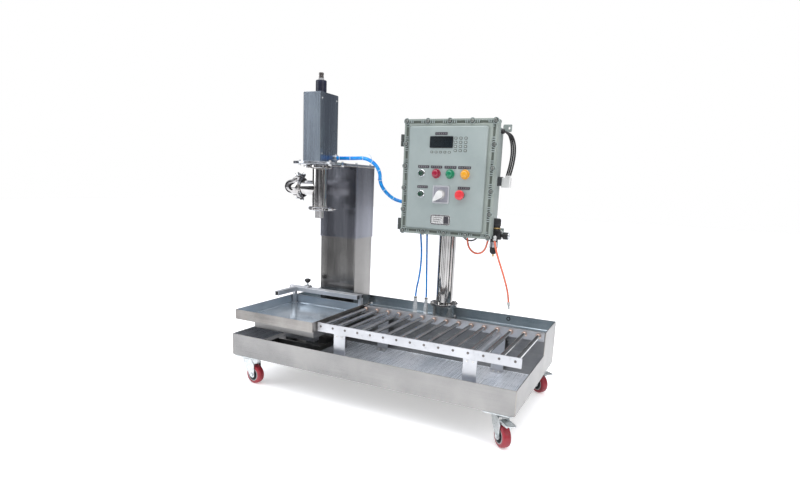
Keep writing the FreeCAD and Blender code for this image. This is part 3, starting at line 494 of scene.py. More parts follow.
def satin(name, dark, light, rough=(0.3, 0.46), grain=500.0, metal=0.85):
    """Drawn or blasted light metal with small scuffs."""
    r = Recipe(name)
    grains = r.cloud(grain, 3.0, 0.7)
    scuff = r.spread(r.cloud(30.0, 6.0, 0.7), 0.0, 1.0, 0.58, 0.72)
    tone = r.sums("SUBTRACT", r.spread(r.cloud(9.0, 4.0), 0.2, 1.0), r.sums("MULTIPLY", scuff, 0.5))
    r.set(Base_Color=r.tint(tone, dark, light), Metallic=metal)
    r.set(Roughness=r.sums("ADD", r.spread(grains, *rough), r.sums("MULTIPLY", scuff, 0.12)))
    r.relief(grains, 0.03, 0.5)


def spangled(name, dark, light):
    """Zinc plate: faint crystals, a cool blue cast and dull patches."""
    r = Recipe(name)
    cells = r.node("TexVoronoi", {"Vector": r.spot, "Scale": 160.0}).outputs["Color"]
    crystal = r.node("SeparateColor", {0: cells}).outputs[0]
    dull = r.cloud(25.0, 4.0)
    tone = r.sums("ADD", r.sums("MULTIPLY", crystal, 0.35), r.sums("MULTIPLY", dull, 0.65))
    r.set(Base_Color=r.tint(r.spread(tone, 0, 1, 0.2, 0.8), dark, light), Metallic=1.0)
    r.set(Roughness=r.spread(tone, 0.24, 0.44, 0.2, 0.8))
    r.relief(dull, 0.06, 0.5)


def cast_paint(name, dark, light, rough=(0.34, 0.5), peel=0.09):
    """Powder coat on a casting: orange peel, slight mottling, dust on faces that look up."""
    r = Recipe(name)
    skin = r.cloud(380.0, 3.0, 0.6)
    wave = r.cloud(60.0, 2.0)
    mottle = r.cloud(8.0, 5.0, 0.6)
    up = r.node("SeparateXYZ", {0: r.slope}).outputs[2]
    dust = r.sums("MULTIPLY", r.spread(up, 0.0, 0.5, 0.3, 1.0), r.cloud(40.0, 5.0, 0.7))
    tone = r.sums("ADD", r.spread(mottle, 0.1, 0.75), dust)
    r.set(Base_Color=r.tint(tone, dark, light))
    r.set(Roughness=r.sums("ADD", r.spread(skin, *rough), r.sums("MULTIPLY", dust, 0.4)))
    r.set(Specular_IOR_Level=0.45, Coat_Weight=0.12, Coat_Roughness=0.25)
    r.relief(r.sums("ADD", skin, r.sums("MULTIPLY", wave, 1.4)), peel, 0.7)


def moulded(name, dark, light, rough=(0.38, 0.55), grain=700.0, depth=0.03, coat=0.0):
    """Moulded plastic or rubber with a fine spark grain and rubbed patches."""
    r = Recipe(name)
    grains = r.cloud(grain, 2.0, 0.7)
    rubbed = r.cloud(18.0, 4.0, 0.6)
    r.set(Base_Color=r.tint(r.spread(rubbed, 0, 1), dark, light))
    r.set(Roughness=r.sums("ADD", r.spread(grains, *rough), r.spread(rubbed, 0.05, -0.05)))
    r.set(Coat_Weight=coat, Coat_Roughness=0.08)
    r.relief(grains, depth, 0.6)


def lens(name, dark, light, glow):
    """Coloured lens with rings moulded inside it and a lit centre."""
    r = Recipe(name)
    rings = r.node("TexWave", {"Vector": r.spot, "Scale": 260.0, "Distortion": 0.6},
                   wave_type="BANDS", bands_direction="Z").outputs[0]
    r.set(Base_Color=r.tint(rings, dark, light), Roughness=0.14, Coat_Weight=0.8,
          Coat_Roughness=0.05, Emission_Color=(*light, 1), Emission_Strength=glow)
    r.relief(rings, 0.08, 0.5)


def hose_skin(name, dark, light, rough=(0.2, 0.32)):
    """Drawn soft tube: glossy, with faint lines and cloudy depth."""
    r = Recipe(name)
    cloudy = r.cloud(60.0, 4.0)
    r.set(Base_Color=r.tint(r.spread(cloudy, 0, 1), dark, light), Roughness=r.spread(
        r.cloud(300.0, 2.0), *rough), Coat_Weight=0.3, Coat_Roughness=0.12)
    r.set(Subsurface_Weight=0.08, Subsurface_Radius=(0.004, 0.003, 0.003))
    r.relief(r.cloud(180.0, 3.0), 0.04, 0.4)


def prepare_finishes():
    """Every finish by its name, with its darkest and lightest colour first."""
    # A less metallic copy of the nickel for the deck unions: painted reflection, so they read white
    # whatever surrounds them.
    satin("nickel with painted reflection", (0.62, 0.63, 0.64), (0.84, 0.85, 0.86), (0.2, 0.34), 700.0, 0.35)
    # Where a brushed finish gives an eighth number, it mixes in soft streaks of painted reflection.
    brushed("mast steel", (0.17, 0.165, 0.16), (0.40, 0.39, 0.38), (0.16, 0.28), "Z", 1600.0, 1.0,
            0.7)
    cast_paint("flange paint", (0.23, 0.265, 0.24), (0.33, 0.37, 0.34))
    # Dark paint for the door's groove floor and under the keys: painted shade.
    cast_paint("painted shade green", (0.06, 0.072, 0.06), (0.12, 0.14, 0.12))
    satin("bolt grey", (0.16, 0.17, 0.16), (0.34, 0.36, 0.34), (0.3, 0.5), 500.0, 0.6)
    satin("weld bead", (0.26, 0.24, 0.23), (0.60, 0.57, 0.52), (0.3, 0.5), 300.0, 1.0)
    # Lighter, bluer copy of the pan steel for the pan's inside: painted reflection of the bright
    # room.
    brushed("pan floor", (0.40, 0.47, 0.53), (0.72, 0.78, 0.84), (0.08, 0.20), "X", 900.0, 1.2, 0.5,
            0.7)
    brushed("tray steel", (0.22, 0.22, 0.22), (0.42, 0.41, 0.40), (0.24, 0.40), "X", 1400.0, 0.8,
            0.5)
    # Lighter, bluer and barely metallic copy of the tray steel for the tray's inside: painted
    # reflection of the bright room.
    brushed("tray floor", (0.50, 0.56, 0.64), (0.93, 0.95, 0.99), (0.18, 0.36), "Y", 900.0, 1.0,
            0.6, 0.35)
    brushed("pan steel", (0.23, 0.22, 0.21), (0.42, 0.40, 0.38), (0.28, 0.42), "X")
    # Lighter, bluer copy of the tray steel for the trough's deck and inside: painted reflection of
    # the bright room.
    brushed("trough steel", (0.42, 0.48, 0.52), (0.62, 0.67, 0.70), (0.24, 0.40), "X")
    brushed("column steel", (0.11, 0.115, 0.135), (0.42, 0.43, 0.48), (0.14, 0.26), "Z", 2200.0,
            0.8, 0.9)
    brushed("housing steel", (0.18, 0.21, 0.26), (0.33, 0.38, 0.44), (0.18, 0.30), "Z", 2200.0, 0.8,
            0.8)
    brushed("plate steel", (0.42, 0.45, 0.50), (0.66, 0.69, 0.74), (0.14, 0.26), "Y")
    brushed("scale steel", (0.24, 0.235, 0.23), (0.40, 0.395, 0.39), (0.30, 0.45), "X")
    brushed("dark rod", (0.10, 0.09, 0.09), (0.22, 0.20, 0.19), (0.25, 0.4), "Z")
    polished("polished steel", (0.40, 0.385, 0.38), (0.56, 0.55, 0.545), (0.05, 0.11))
    polished("post steel", (0.38, 0.37, 0.36), (0.54, 0.53, 0.52), (0.03, 0.07))
    polished("roller steel", (0.44, 0.44, 0.44), (0.66, 0.665, 0.67), (0.04, 0.09))
    polished("gloss chrome", (0.70, 0.72, 0.74), (0.90, 0.91, 0.92), (0.03, 0.08))
    satin("white rail", (0.50, 0.51, 0.53), (0.68, 0.69, 0.72))
    satin("rail inside", (0.50, 0.52, 0.56), (0.70, 0.72, 0.76))
    satin("nickel", (0.60, 0.60, 0.59), (0.86, 0.85, 0.83), (0.2, 0.34), 700.0, 0.6)
    satin("bronze cup", (0.42, 0.30, 0.24), (0.66, 0.52, 0.45), (0.25, 0.4), 600.0, 1.0)
    satin("brass", (0.50, 0.33, 0.12), (0.78, 0.56, 0.25), (0.2, 0.36), 600.0, 1.0)
    spangled("zinc", (0.46, 0.49, 0.50), (0.74, 0.77, 0.78))
    spangled("zinc dark", (0.26, 0.28, 0.28), (0.46, 0.48, 0.48))
    cast_paint("case paint", (0.235, 0.275, 0.262), (0.315, 0.355, 0.338))
    cast_paint("door paint", (0.275, 0.325, 0.318), (0.355, 0.405, 0.395))
    # Dark paint for a narrow ring at the foot of the raised panel: painted shade in the crease.
    cast_paint("panel foot painted shade", (0.17, 0.20, 0.185), (0.26, 0.295, 0.27))
    # Black for the hinges, and for the discs in the bolt bosses' recesses, which are painted shade.
    cast_paint("hinge black and painted shade", (0.045, 0.052, 0.05), (0.09, 0.10, 0.095))
    moulded("black plastic", (0.008, 0.008, 0.009), (0.022, 0.022, 0.024))
    moulded("black gloss", (0.004, 0.007, 0.009), (0.012, 0.018, 0.022), (0.12, 0.2), coat=0.5)
    moulded("button green", (0.004, 0.028, 0.016), (0.012, 0.055, 0.032), (0.14, 0.22), coat=0.6)
    moulded("estop red", (0.55, 0.018, 0.03), (0.75, 0.05, 0.06), (0.22, 0.32), coat=0.5)
    moulded("red tread", (0.20, 0.008, 0.018), (0.36, 0.02, 0.035), (0.30, 0.45), 300.0, 0.05)
    moulded("grey hub", (0.035, 0.036, 0.04), (0.075, 0.078, 0.085))
    moulded("pale ring", (0.30, 0.30, 0.30), (0.46, 0.46, 0.46))
    moulded("white plastic", (0.68, 0.68, 0.67), (0.84, 0.84, 0.83), (0.2, 0.32), coat=0.3)
    moulded("grey switch", (0.20, 0.20, 0.23), (0.32, 0.32, 0.36))
    moulded("key cap", (0.26, 0.29, 0.28), (0.42, 0.46, 0.45), (0.2, 0.3), coat=0.4)
    moulded("label dark", (0.035, 0.032, 0.04), (0.07, 0.065, 0.075), (0.3, 0.4))
    moulded("label pale", (0.32, 0.31, 0.33), (0.52, 0.51, 0.52), (0.3, 0.4))
    moulded("rubber black", (0.010, 0.010, 0.010), (0.026, 0.026, 0.026), (0.55, 0.7), 400.0)
    moulded("navy sleeve", (0.006, 0.008, 0.022), (0.018, 0.022, 0.05), (0.3, 0.42))
    moulded("cable black", (0.008, 0.008, 0.009), (0.020, 0.020, 0.022), (0.32, 0.46), 500.0)
    moulded("tie white", (0.45, 0.62, 0.80), (0.72, 0.82, 0.92), (0.3, 0.4), coat=0.2)
    moulded("dial face", (0.66, 0.68, 0.72), (0.82, 0.84, 0.88), (0.2, 0.3), coat=0.6)
    moulded("bowl clear", (0.42, 0.44, 0.48), (0.66, 0.68, 0.72), (0.08, 0.14), coat=0.8)
    lens("lamp red", (0.16, 0.0, 0.012), (0.42, 0.008, 0.05), 0.03)
    lens("lamp green", (0.0, 0.09, 0.045), (0.008, 0.28, 0.13), 0.04)
    lens("lamp amber", (0.50, 0.18, 0.005), (0.85, 0.42, 0.02), 0.08)
    hose_skin("blue hose", (0.0, 0.15, 0.50), (0.0, 0.30, 0.85))
    hose_skin("bundle blue", (0.0, 0.17, 0.66), (0.0, 0.40, 0.95))
    hose_skin("orange hose", (0.80, 0.13, 0.06), (0.95, 0.25, 0.14))


prepare_finishes()


# ---------------------------------------------------------------- camera, light and floor

def set_camera():
    """The camera stands to the right of the machine, a little above its middle."""
    yaw, pitch, roll = 0.449801, 0.191726, 0.042003
    ahead = np.array([-math.sin(yaw) * math.cos(pitch), math.cos(yaw) * math.cos(pitch),
                      -math.sin(pitch)])
    right = np.array([math.cos(yaw), math.sin(yaw), 0.0])
    above = np.cross(right, ahead)
    across = math.cos(roll) * right + math.sin(roll) * above
    over = -math.sin(roll) * right + math.cos(roll) * above
    data = bpy.data.cameras.new("camera")
    data.sensor_width = 36
    data.lens = 24.265
    data.shift_x = 0.0025
    data.shift_y = 0.04625
    data.clip_end = 60
    camera = bpy.data.objects.new("camera", data)
    matrix = np.eye(4)
    matrix[:3, :3] = np.stack([across, over, -ahead], axis=1)
    matrix[:3, 3] = (0.95842, -1.97763, 0.85610)
    camera.matrix_world = Matrix(matrix.tolist())
    bpy.context.scene.collection.objects.link(camera)
    bpy.context.scene.camera = camera


def set_sky():
    """A pale room: white to the camera, banded light and dark for what the steel reflects."""
    world = bpy.data.worlds.new("room")
    bpy.context.scene.world = world
    bpy.context.scene.view_settings.view_transform = "Standard"
    world.use_nodes = True
    world.node_tree.nodes.clear()
    sky = Nodes(world.node_tree)
    way = sky.node("TexCoord").outputs["Generated"]
    parts = sky.node("SeparateXYZ", {0: way}).outputs
    lift = sky.node("MapRange", {0: parts[2], 1: -1.0})
    turn = sky.node("Math", {0: parts[1], 1: parts[0]}, operation="ARCTAN2")
    around = sky.node("MapRange", {0: turn.outputs[0], 1: -math.pi, 2: math.pi})
    layers = sky.ramp(lift.outputs[0], ((0.0, 0.50), (0.42, 0.62), (0.50, 0.26), (0.62, 0.30),
                                        (0.75, 0.75), (0.86, 1.5), (1.0, 1.6)), (0.97, 0.99, 1.03))
    panels = sky.ramp(around.outputs[0], (
        (0.0, 1.2), (0.06, 0.35), (0.12, 1.3), (0.18, 1.25), (0.215, 0.16), (0.25, 0.22),
        (0.29, 1.5), (0.33, 1.45), (0.37, 0.25), (0.42, 0.3), (0.47, 1.3), (0.56, 0.4),
        (0.66, 1.2), (0.76, 0.35), (0.88, 1.3), (1.0, 1.2)), (1, 1, 1.02))
    both = sky.node("Mix", {0: 1.0, 6: layers, 7: panels}, data_type="RGBA", blend_type="MULTIPLY")
    room = sky.node("Background", {0: both.outputs[2], 1: 0.9})
    white = sky.node("Background", {0: (1, 1, 1, 1), 1: 1.0})
    seen = sky.node("LightPath").outputs["Is Camera Ray"]
    mix = sky.node("MixShader", {0: seen, 1: room.outputs[0], 2: white.outputs[0]})
    sky.node("OutputWorld", {0: mix.outputs[0]})


def soft_light(name, at, aim, width, height, power, colour=(1, 1, 1)):
    """A soft box at a place, turned to a point."""
    data = bpy.data.lights.new(name, "AREA")
    data.shape = "RECTANGLE"
    data.size, data.size_y = width, height
    data.energy = power
    data.color = colour
    lamp = bpy.data.objects.new(name, data)
    back = unit(np.array(at, float) - np.array(aim, float))
    side = unit(np.cross((0, 0, 1), back))
    matrix = np.eye(4)
    matrix[:3, :3] = np.stack([side, np.cross(back, side), back], axis=1)
    matrix[:3, 3] = at
    lamp.matrix_world = Matrix(matrix.tolist())
    bpy.context.scene.collection.objects.link(lamp)


def set_floor():
    """A wide pale floor under the wheels."""
    r = Recipe("pale floor")
    r.set(Base_Color=r.tint(r.cloud(0.8, 2.0), (0.93, 0.93, 0.93), (0.96, 0.96, 0.96)),
          Roughness=0.6, Emission_Color=(1, 1, 1, 1), Emission_Strength=0.35)
    reach = 14.0
    mesh = bpy.data.meshes.new("floor")
    mesh.from_pydata([(-reach, -reach, 0), (reach, -reach, 0), (reach, reach, 0),
                      (-reach, reach, 0)], [], [(0, 1, 2, 3)])
    mesh.materials.append(FINISH["pale floor"])
    floor = bpy.data.objects.new("floor", mesh)
    bpy.context.scene.collection.objects.link(floor)


def stand_flag(name, turn, width, reach=1.85, height=1.9):
    """A dark board at the edge of the studio that only the polished steel picks up."""
    a = math.radians(turn)
    centre = np.array([reach * math.cos(a), reach * math.sin(a), 0])
    side = width / 2 * np.array([-math.sin(a), math.cos(a), 0])
    up = np.array([0, 0, height])
    corners = [centre - side, centre + side, centre + side + up, centre - side + up]
    mesh = bpy.data.meshes.new(name)
    mesh.from_pydata([c.tolist() for c in corners], [], [(0, 1, 2, 3)])
    mesh.materials.append(FINISH["flag cloth"])
    board = bpy.data.objects.new(name, mesh)
    bpy.context.scene.collection.objects.link(board)
    board.visible_camera = False
    board.visible_diffuse = False
    board.visible_shadow = False


set_camera()
set_sky()
set_floor()
moulded("flag cloth", (0.012, 0.012, 0.013), (0.03, 0.03, 0.033), (0.8, 0.95))
for number, (turn, width) in enumerate(((-47, 0.16), (-84, 0.2), (-107, 0.22), (-134, 0.3),
                                        (-168, 0.5), (-12, 0.5), (28, 0.5), (160, 0.5))):
    stand_flag("flag_%d" % number, turn, width)
soft_light("overhead", (0.2, -0.6, 3.4), (0, 0, 0.5), 3.2, 2.4, 52)
soft_light("left window", (-2.8, -1.9, 1.9), (-0.2, 0, 0.5), 1.6, 2.4, 36, (0.96, 0.98, 1.0))
soft_light("right window", (2.9, -1.0, 2.0), (0, 0, 0.6), 1.4, 2.2, 26, (1.0, 0.98, 0.95))


# ---------------------------------------------------------------- hoses and cables

# Routes of the hoses and cables, in millimetres, from the end each one leaves the object at.
BUNDLE_ROUTE = [(-338.5, 40, 947), (-265, 40, 947), (-207, 89, 954), (-172, 137, 906),
                (-194, 178, 847), (-172, 222, 795), (-124, 244, 768), (-66, 244, 768)]
# Points along the bundle, out of 220, that carry a tie.
TIES_AT = (10, 32, 56, 76, 100, 124, 150, 178, 204)
BLUE_LEFT_ROUTE = [(-12, 240, 645), (-6, 240, 600), (0, 238, 545), (1, 232, 487), (-3, 226, 430),
                   (-10, 222, 390), (-12, 220, 352)]
BLUE_RIGHT_ROUTE = [(20, 240, 645), (22, 240, 600), (25, 239, 545), (29, 235, 487), (34, 229, 430),
                    (38, 225, 390), (39, 224, 352)]
ORANGE_LOOP_ROUTE = [(208, 240, 645), (211, 238, 612), (227, 233, 584), (254, 227, 570),
                     (283, 223, 576), (301, 222, 600), (306, 222, 632)]
ORANGE_INLET_ROUTE = [(342, 196, 636), (349, 199, 600), (364, 208, 552), (382, 222, 498),
                      (397, 236, 444), (405, 245, 406), (408, 249, 375)]
SIDE_CABLE_ROUTE = [(326, 285, 1080), (350, 286, 1068), (364, 288, 1034), (368, 290, 988),
                    (363, 290, 943), (354, 290, 902)]


def route_curve(name, route, radius):
    """A smooth curve whose control points are the route."""
    curve = bpy.data.curves.new(name, "CURVE")
    curve.dimensions = "3D"
    curve.bevel_depth = radius * MM
    curve.bevel_resolution = 5
    curve.resolution_u = 14
    curve.use_fill_caps = True
    spline = curve.splines.new("NURBS")
    spline.points.add(len(route) - 1)
    flat = np.column_stack([np.array(route, float) * MM, np.ones(len(route))])
    spline.points.foreach_set("co", flat.ravel())
    spline.order_u = 3
    spline.use_endpoint_u = True
    return bpy.data.objects.new(name, curve)


def centre_line(route):
    """Points along the route's smooth curve, in millimetres."""
    ghost = route_curve("centre line", route, 0)
    bpy.context.scene.collection.objects.link(ghost)
    bpy.context.view_layer.update()
    mesh = bpy.data.meshes.new_from_object(ghost)
    line = np.empty(len(mesh.vertices) * 3)
    mesh.vertices.foreach_get("co", line)
    bpy.data.objects.remove(ghost)
    bpy.data.meshes.remove(mesh)
    return line.reshape(-1, 3) / MM


def length_of(line):
    """Length of a line of points in millimetres, in metres."""
    return float(np.linalg.norm(np.diff(line, axis=0), axis=1).sum()) * MM


def hang_hose(name, route, radius, finish, body="machine"):
    """A plain hose or cable along its route."""
    hose = route_curve(name + "_skin", route, radius)
    hose.data.materials.append(FINISH[finish])
    bpy.context.scene.collection.objects.link(hose)
    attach(hose, body)
    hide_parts(name)
    length_of(centre_line(route))
    return hose


def even_line(line, count):
    """The same line with its points evenly apart."""
    gone = np.concatenate([[0], np.cumsum(np.linalg.norm(np.diff(line, axis=0), axis=1))])
    wanted = np.linspace(0, gone[-1], count)
    return np.stack([np.interp(wanted, gone, line[:, k]) for k in range(3)], axis=1)


def make_bundle():
    """Five blue tubes laid together with a slow twist and held by ties.

    The section is a circle with five rounded lobes, r = R (0.84 + 0.16 |cos(5a/2 + twist)|),
    and its twist grows with the length."""
    radius = 8.0
    line = even_line(centre_line(BUNDLE_ROUTE), 220)
    angle = np.linspace(0, 2 * np.pi, 60, endpoint=False)
    along = unit(np.gradient(line, axis=0))
    first = unit(np.cross((0, 0, 1.0), along))
    second = np.cross(along, first)
    far = np.linspace(0, 1, len(line))[:, None]
    lobes = radius * (0.84 + 0.16 * np.abs(np.cos(2.5 * angle[None, :] + 3.0 * far)))
    grid = line[:, None] + (lobes * np.cos(angle))[..., None] * first[:, None] \
        + (lobes * np.sin(angle))[..., None] * second[:, None]
    ties = []
    for index in TIES_AT:
        ring = [(radius - 0.6, -1.1), (radius + 0.7, -1.1), (radius + 0.7, 1.1), (radius - 0.6,
                                                                                  1.1)]
        way = np.stack([first[index], second[index], along[index]])
        band = lathe(ring, "tie white", 28, 0.4, loop=True).put(*line[index], facing=way)
        head = plate(oblong(4.4, 4.0, 0.6), 3.4, "tie white", 0.4).put(radius + 0.4, 0, -2.0)
        ties += [band, head.put(*line[index], facing=way)]
    tail_at = 76
    tail = line[tail_at] + np.array([[0, 0, 6.0], [1, -3, 16.0], [-2, -6, 24.0], [-9, -8, 29.0]])
    ties.append(swept(even_line(tail, 9), 1.1, "tie white", 8, up=(0, 1, 0)))
    hang = ("filling_head", "machine", [v * MM for v in BUNDLE_ROUTE[0]],
            [v * MM for v in BUNDLE_ROUTE[-1]])
    tie_piece = make("bundle_ties", ties, hang)
    bundle = make("head_hose_bundle_skin", [Shell(grid, "bundle blue")], hang, ["head_hose_bundle"],
                  sharp=60, weigh=False)


def make_hoses():
    """Air hoses between the box, the deck and the air set, and the cable at the box's side."""
    hang_hose("blue_hose_left", BLUE_LEFT_ROUTE, 4, "blue hose")
    hang_hose("blue_hose_right", BLUE_RIGHT_ROUTE, 4, "blue hose")
    hang_hose("orange_loop_hose", ORANGE_LOOP_ROUTE, 4, "orange hose")
    hang_hose("side_cable", SIDE_CABLE_ROUTE, 3.5, "cable black")
    plug = make_air_plug()
    hang_hose("orange_inlet_hose", ORANGE_INLET_ROUTE, 4, "orange hose")


def make_air_plug():
    """The quick plug on the hanging end: ferrule, hexagon and grooved nose."""
    end = np.array(ORANGE_INLET_ROUTE[-1], float)
    away = unit(end - np.array(ORANGE_INLET_ROUTE[-2], float))
    side = unit(np.cross((0, 0, 1.0), away))
    way = np.stack([side, np.cross(away, side), away])
    body = lathe([(0.1, 0), (6.0, 0), (6.4, 1.5), (6.4, 8), (5.4, 9), (5.4, 10)], "nickel", 28, 0.3)
    nut = hex_head(12.4, 6, "nickel").put(0, 0, 9.6)
    nose = lathe([(0.1, 15), (4.4, 15), (4.4, 19), (3.3, 20), (3.3, 23), (4.5, 24), (4.5, 28),
                  (3.2, 30.8), (2.0, 30.8), (2.0, 27), (0.1, 27)], "nickel", 28, 0.3)
    return make("air_plug_skin", [s.put(*end, facing=way) for s in (body, nut, nose)], "machine",
                ["air_plug"])


make_bundle()
make_hoses()


# ---------------------------------------------------------------- base and casters

# Each caster's x and y and the degrees it is turned by, then how far its axle trails.
CASTERS = {"front_left": (-540, -282, -8), "front_right": (540, -282, -48),
           "rear_left": (-540, 282, 24), "rear_right": (540, 282, -38)}
TRAIL = 32
AXLE_Z = 40
# Heights of the tray's underside and floor, the trough's deck and rim, the pan's floor and the
# rollers' axles.
TRAY_Z, FLOOR_Z, DECK_Z, RIM_Z = 118, 121, 259, 304
PAN_FLOOR_Z, ROLLER_Z = 274, 296


def make_base():
    """Drip tray, raised trough behind it and the caster plates under the corners."""
    tray = [basin(-600, 600, -320, 111.4, TRAY_Z, 209, 3, FLOOR_Z, "tray steel", "tray floor"),
            block(-599, 599, 111, 319.5, TRAY_Z, FLOOR_Z, "tray steel", corner=2)]
    for x in (-599.4, 599.4):
        tray.append(weld([(x, -319.4, FLOOR_Z), (x, -319.4, 206)]))
    for x in (-596.4, 596.4):
        tray.append(weld([(x, -316.4, 123), (x, -316.4, 205)]))
    for x, y, _ in CASTERS.values():
        tray.append(plate(oblong(100, 78, 5), 4, "zinc", 0.5).put(x, y, 114))
        for sx in (-1, 1):
            for sy in (-1, 1):
                at = (x + sx * 38, y + sy * 27)
                tray.append(disc(7, 0, 1.2, "zinc dark", 20, 0.2).put(*at, 114, facing="down"))
                tray.append(hex_head(10, 3.6, "zinc").put(*at, 113, facing="down", spin=17 * sx))
        tray.append(lathe([(0.1, 0), (6, 0), (6, 12), (10, 12), (10, 16), (0.1, 16)], "zinc dark",
                          24, 0.5).put(x, y, 114, facing="down"))
    dress("base_tray", tray, "machine")

    trough = [basin(-600, 600, 108, 320, FLOOR_Z, RIM_Z, 3, DECK_Z, "tray steel", "trough steel",
                    2.5)]
    for x in (-599.4, 599.4):
        trough += [weld([(x, 108.6, 212), (x, 108.6, 301)]), weld([(x, 319.4, 124), (x, 319.4,
                                                                                     301)])]
    trough.append(weld([(-596.6, 108.2, 209.4), (596.6, 108.2, 209.4)], "tray steel"))
    trough.append(lathe([(0.1, 2.2), (5.4, 2.2), (5.4, 0), (9, 0), (9, 6), (5.4, 6), (5.4, 3.8),
                         (0.1, 3.8)], "rubber black", 32, 0.5).put(397, 321.4, 286, "front"))
    dress("rear_plinth", trough, "machine")


def make_caster(name, x, y, turn):
    """Fork, wheel and, on the braked ones, the pedal, built straight and then turned."""
    axle_x = x + TRAIL
    inside = 17.5
    side = [(x - 24, 107), (x - 10, 70), (axle_x - 7, 29), (axle_x + 5, 27), (axle_x + 13, 34),
            (x + 44, 88), (x + 30, 107)]
    cheek = plate(outline_of(eased(side, 6, 4, closed=True)), 3, "zinc", 0.8)
    fork = [cheek.put(0, y - inside, 0, "front"), cheek.put(0, y + inside + 3, 0, "front"),
            block(x - 22, x + 28, y - inside - 1.5, y + inside + 1.5, 103.5, 106.8, "zinc",
                  corner=6, ease=1.2),
            lathe([(0.1, 104), (25, 104), (27, 106), (27, 108), (23, 110), (23, 113.5),
                   (0.1, 113.5)], "zinc", 44, 0.8).put(x, y),
            lathe([(27.2, 105.4), (28.4, 106.6), (28.4, 108.2), (27.2, 109)], "zinc dark", 44,
                  0.3, loop=True).put(x, y),
            disc(4.9, -23, 23, "zinc dark", 24, 0.4).put(
                axle_x, y, AXLE_Z, "front")]
    for facing, sign in (("front", -1), ("back", 1)):
        at = y + sign * (inside + 3)
        fork.append(disc(9.5, 0, 1.2, "zinc", 28, 0.3).put(axle_x, at, AXLE_Z, facing))
        fork.append(hex_head(13, 4.2, "zinc").put(axle_x, at + sign * 1.1, AXLE_Z, facing, 12))
    rim = [(27, -15), (33, -15), (37.6, -13.4), (39.6, -9), (40, -3), (40, 3), (39.6, 9),
           (37.6, 13.4), (33, 15), (27, 15)]
    tread = lathe(rim, "red tread", 64, 1.2, loop=True)
    ring = washer(24.4, 27.2, -15.4, 15.4, "pale ring", 56, 0.5)
    hub = lathe([(0.1, -13), (9.5, -13), (10.5, -9.5), (20.5, -9.5), (22.5, -14.6), (24.6, -14.6),
                 (24.6, 14.6), (22.5, 14.6), (20.5, 9.5), (10.5, 9.5), (9.5, 13), (0.1, 13)],
                "grey hub", 56, 0.8)
    bearing = washer(4.95, 9.2, -14.4, 14.4, "zinc", 36, 0.5)
    ribs = []
    for number in range(8):
        rib = block(11, 21.5, -1.1, 1.1, 9, 12.6, "grey hub", corner=0.6, ease=0.4)
        ribs += [rib.put(0, 0, 0, spin=45 * number), rib.put(0, 0, 0, "down", spin=45 * number)]
    wheel = [s.put(axle_x, y, AXLE_Z, "front") for s in [tread, ring, hub, bearing] + ribs]
    for node, shells, slot in (("caster_fork_" + name, fork, "zinc"), ("caster_wheel_" + name,
                                                                       wheel, "red_tread")):
        dress(node, spun(shells, turn, x, y), node)
    if name.endswith("right"):
        make_pedal(name, x, y, turn)


def make_pedal(name, x, y, turn):
    """A pressed tread with turned-down sides, three ribs and a rolled barrel on its pin."""
    pivot_x, pivot_z = x + 36, 94
    tread = [(12, -16), (16, -17), (50, -17), (57, -12), (58.5, 0), (57, 12), (50, 17), (16, 17),
             (12, 16)]
    shape = plate(outline_of(eased(tread, 3, 3, closed=True)), 2.4, "zinc", 0.6)
    pedal = [shape.put(pivot_x, y, pivot_z + 3), washer(3.1, 6, -16.3, 16.3, "zinc", 28,
                                                        0.5).put(pivot_x, y, pivot_z, "front"),
             block(pivot_x + 2, pivot_x + 15, y - 15, y + 15, pivot_z + 2.6, pivot_z + 5.2, "zinc",
                   corner=1)]
    for sy in (-1, 1):
        lip = [(16, -5), (53, -1), (55, 3.6), (14, 3.6)]
        face = plate(outline_of(eased(lip, 2, 3, closed=True)), 2.2, "zinc", 0.5)
        pedal.append(face.put(pivot_x, y + sy * 15.9 + 1.1, pivot_z, "front"))
    for index in range(4):
        at = pivot_x + 24 + 8 * index
        pedal.append(block(at, at + 3, y - 11, y + 11, pivot_z + 5, pivot_z + 6.3, "zinc",
                           corner=1.4, ease=0.5))
    node = "brake_pedal_" + name
    dress(node, spun(pedal, turn, x, y), node)


# ---------------------------------------------------------------- weighing pan and guide

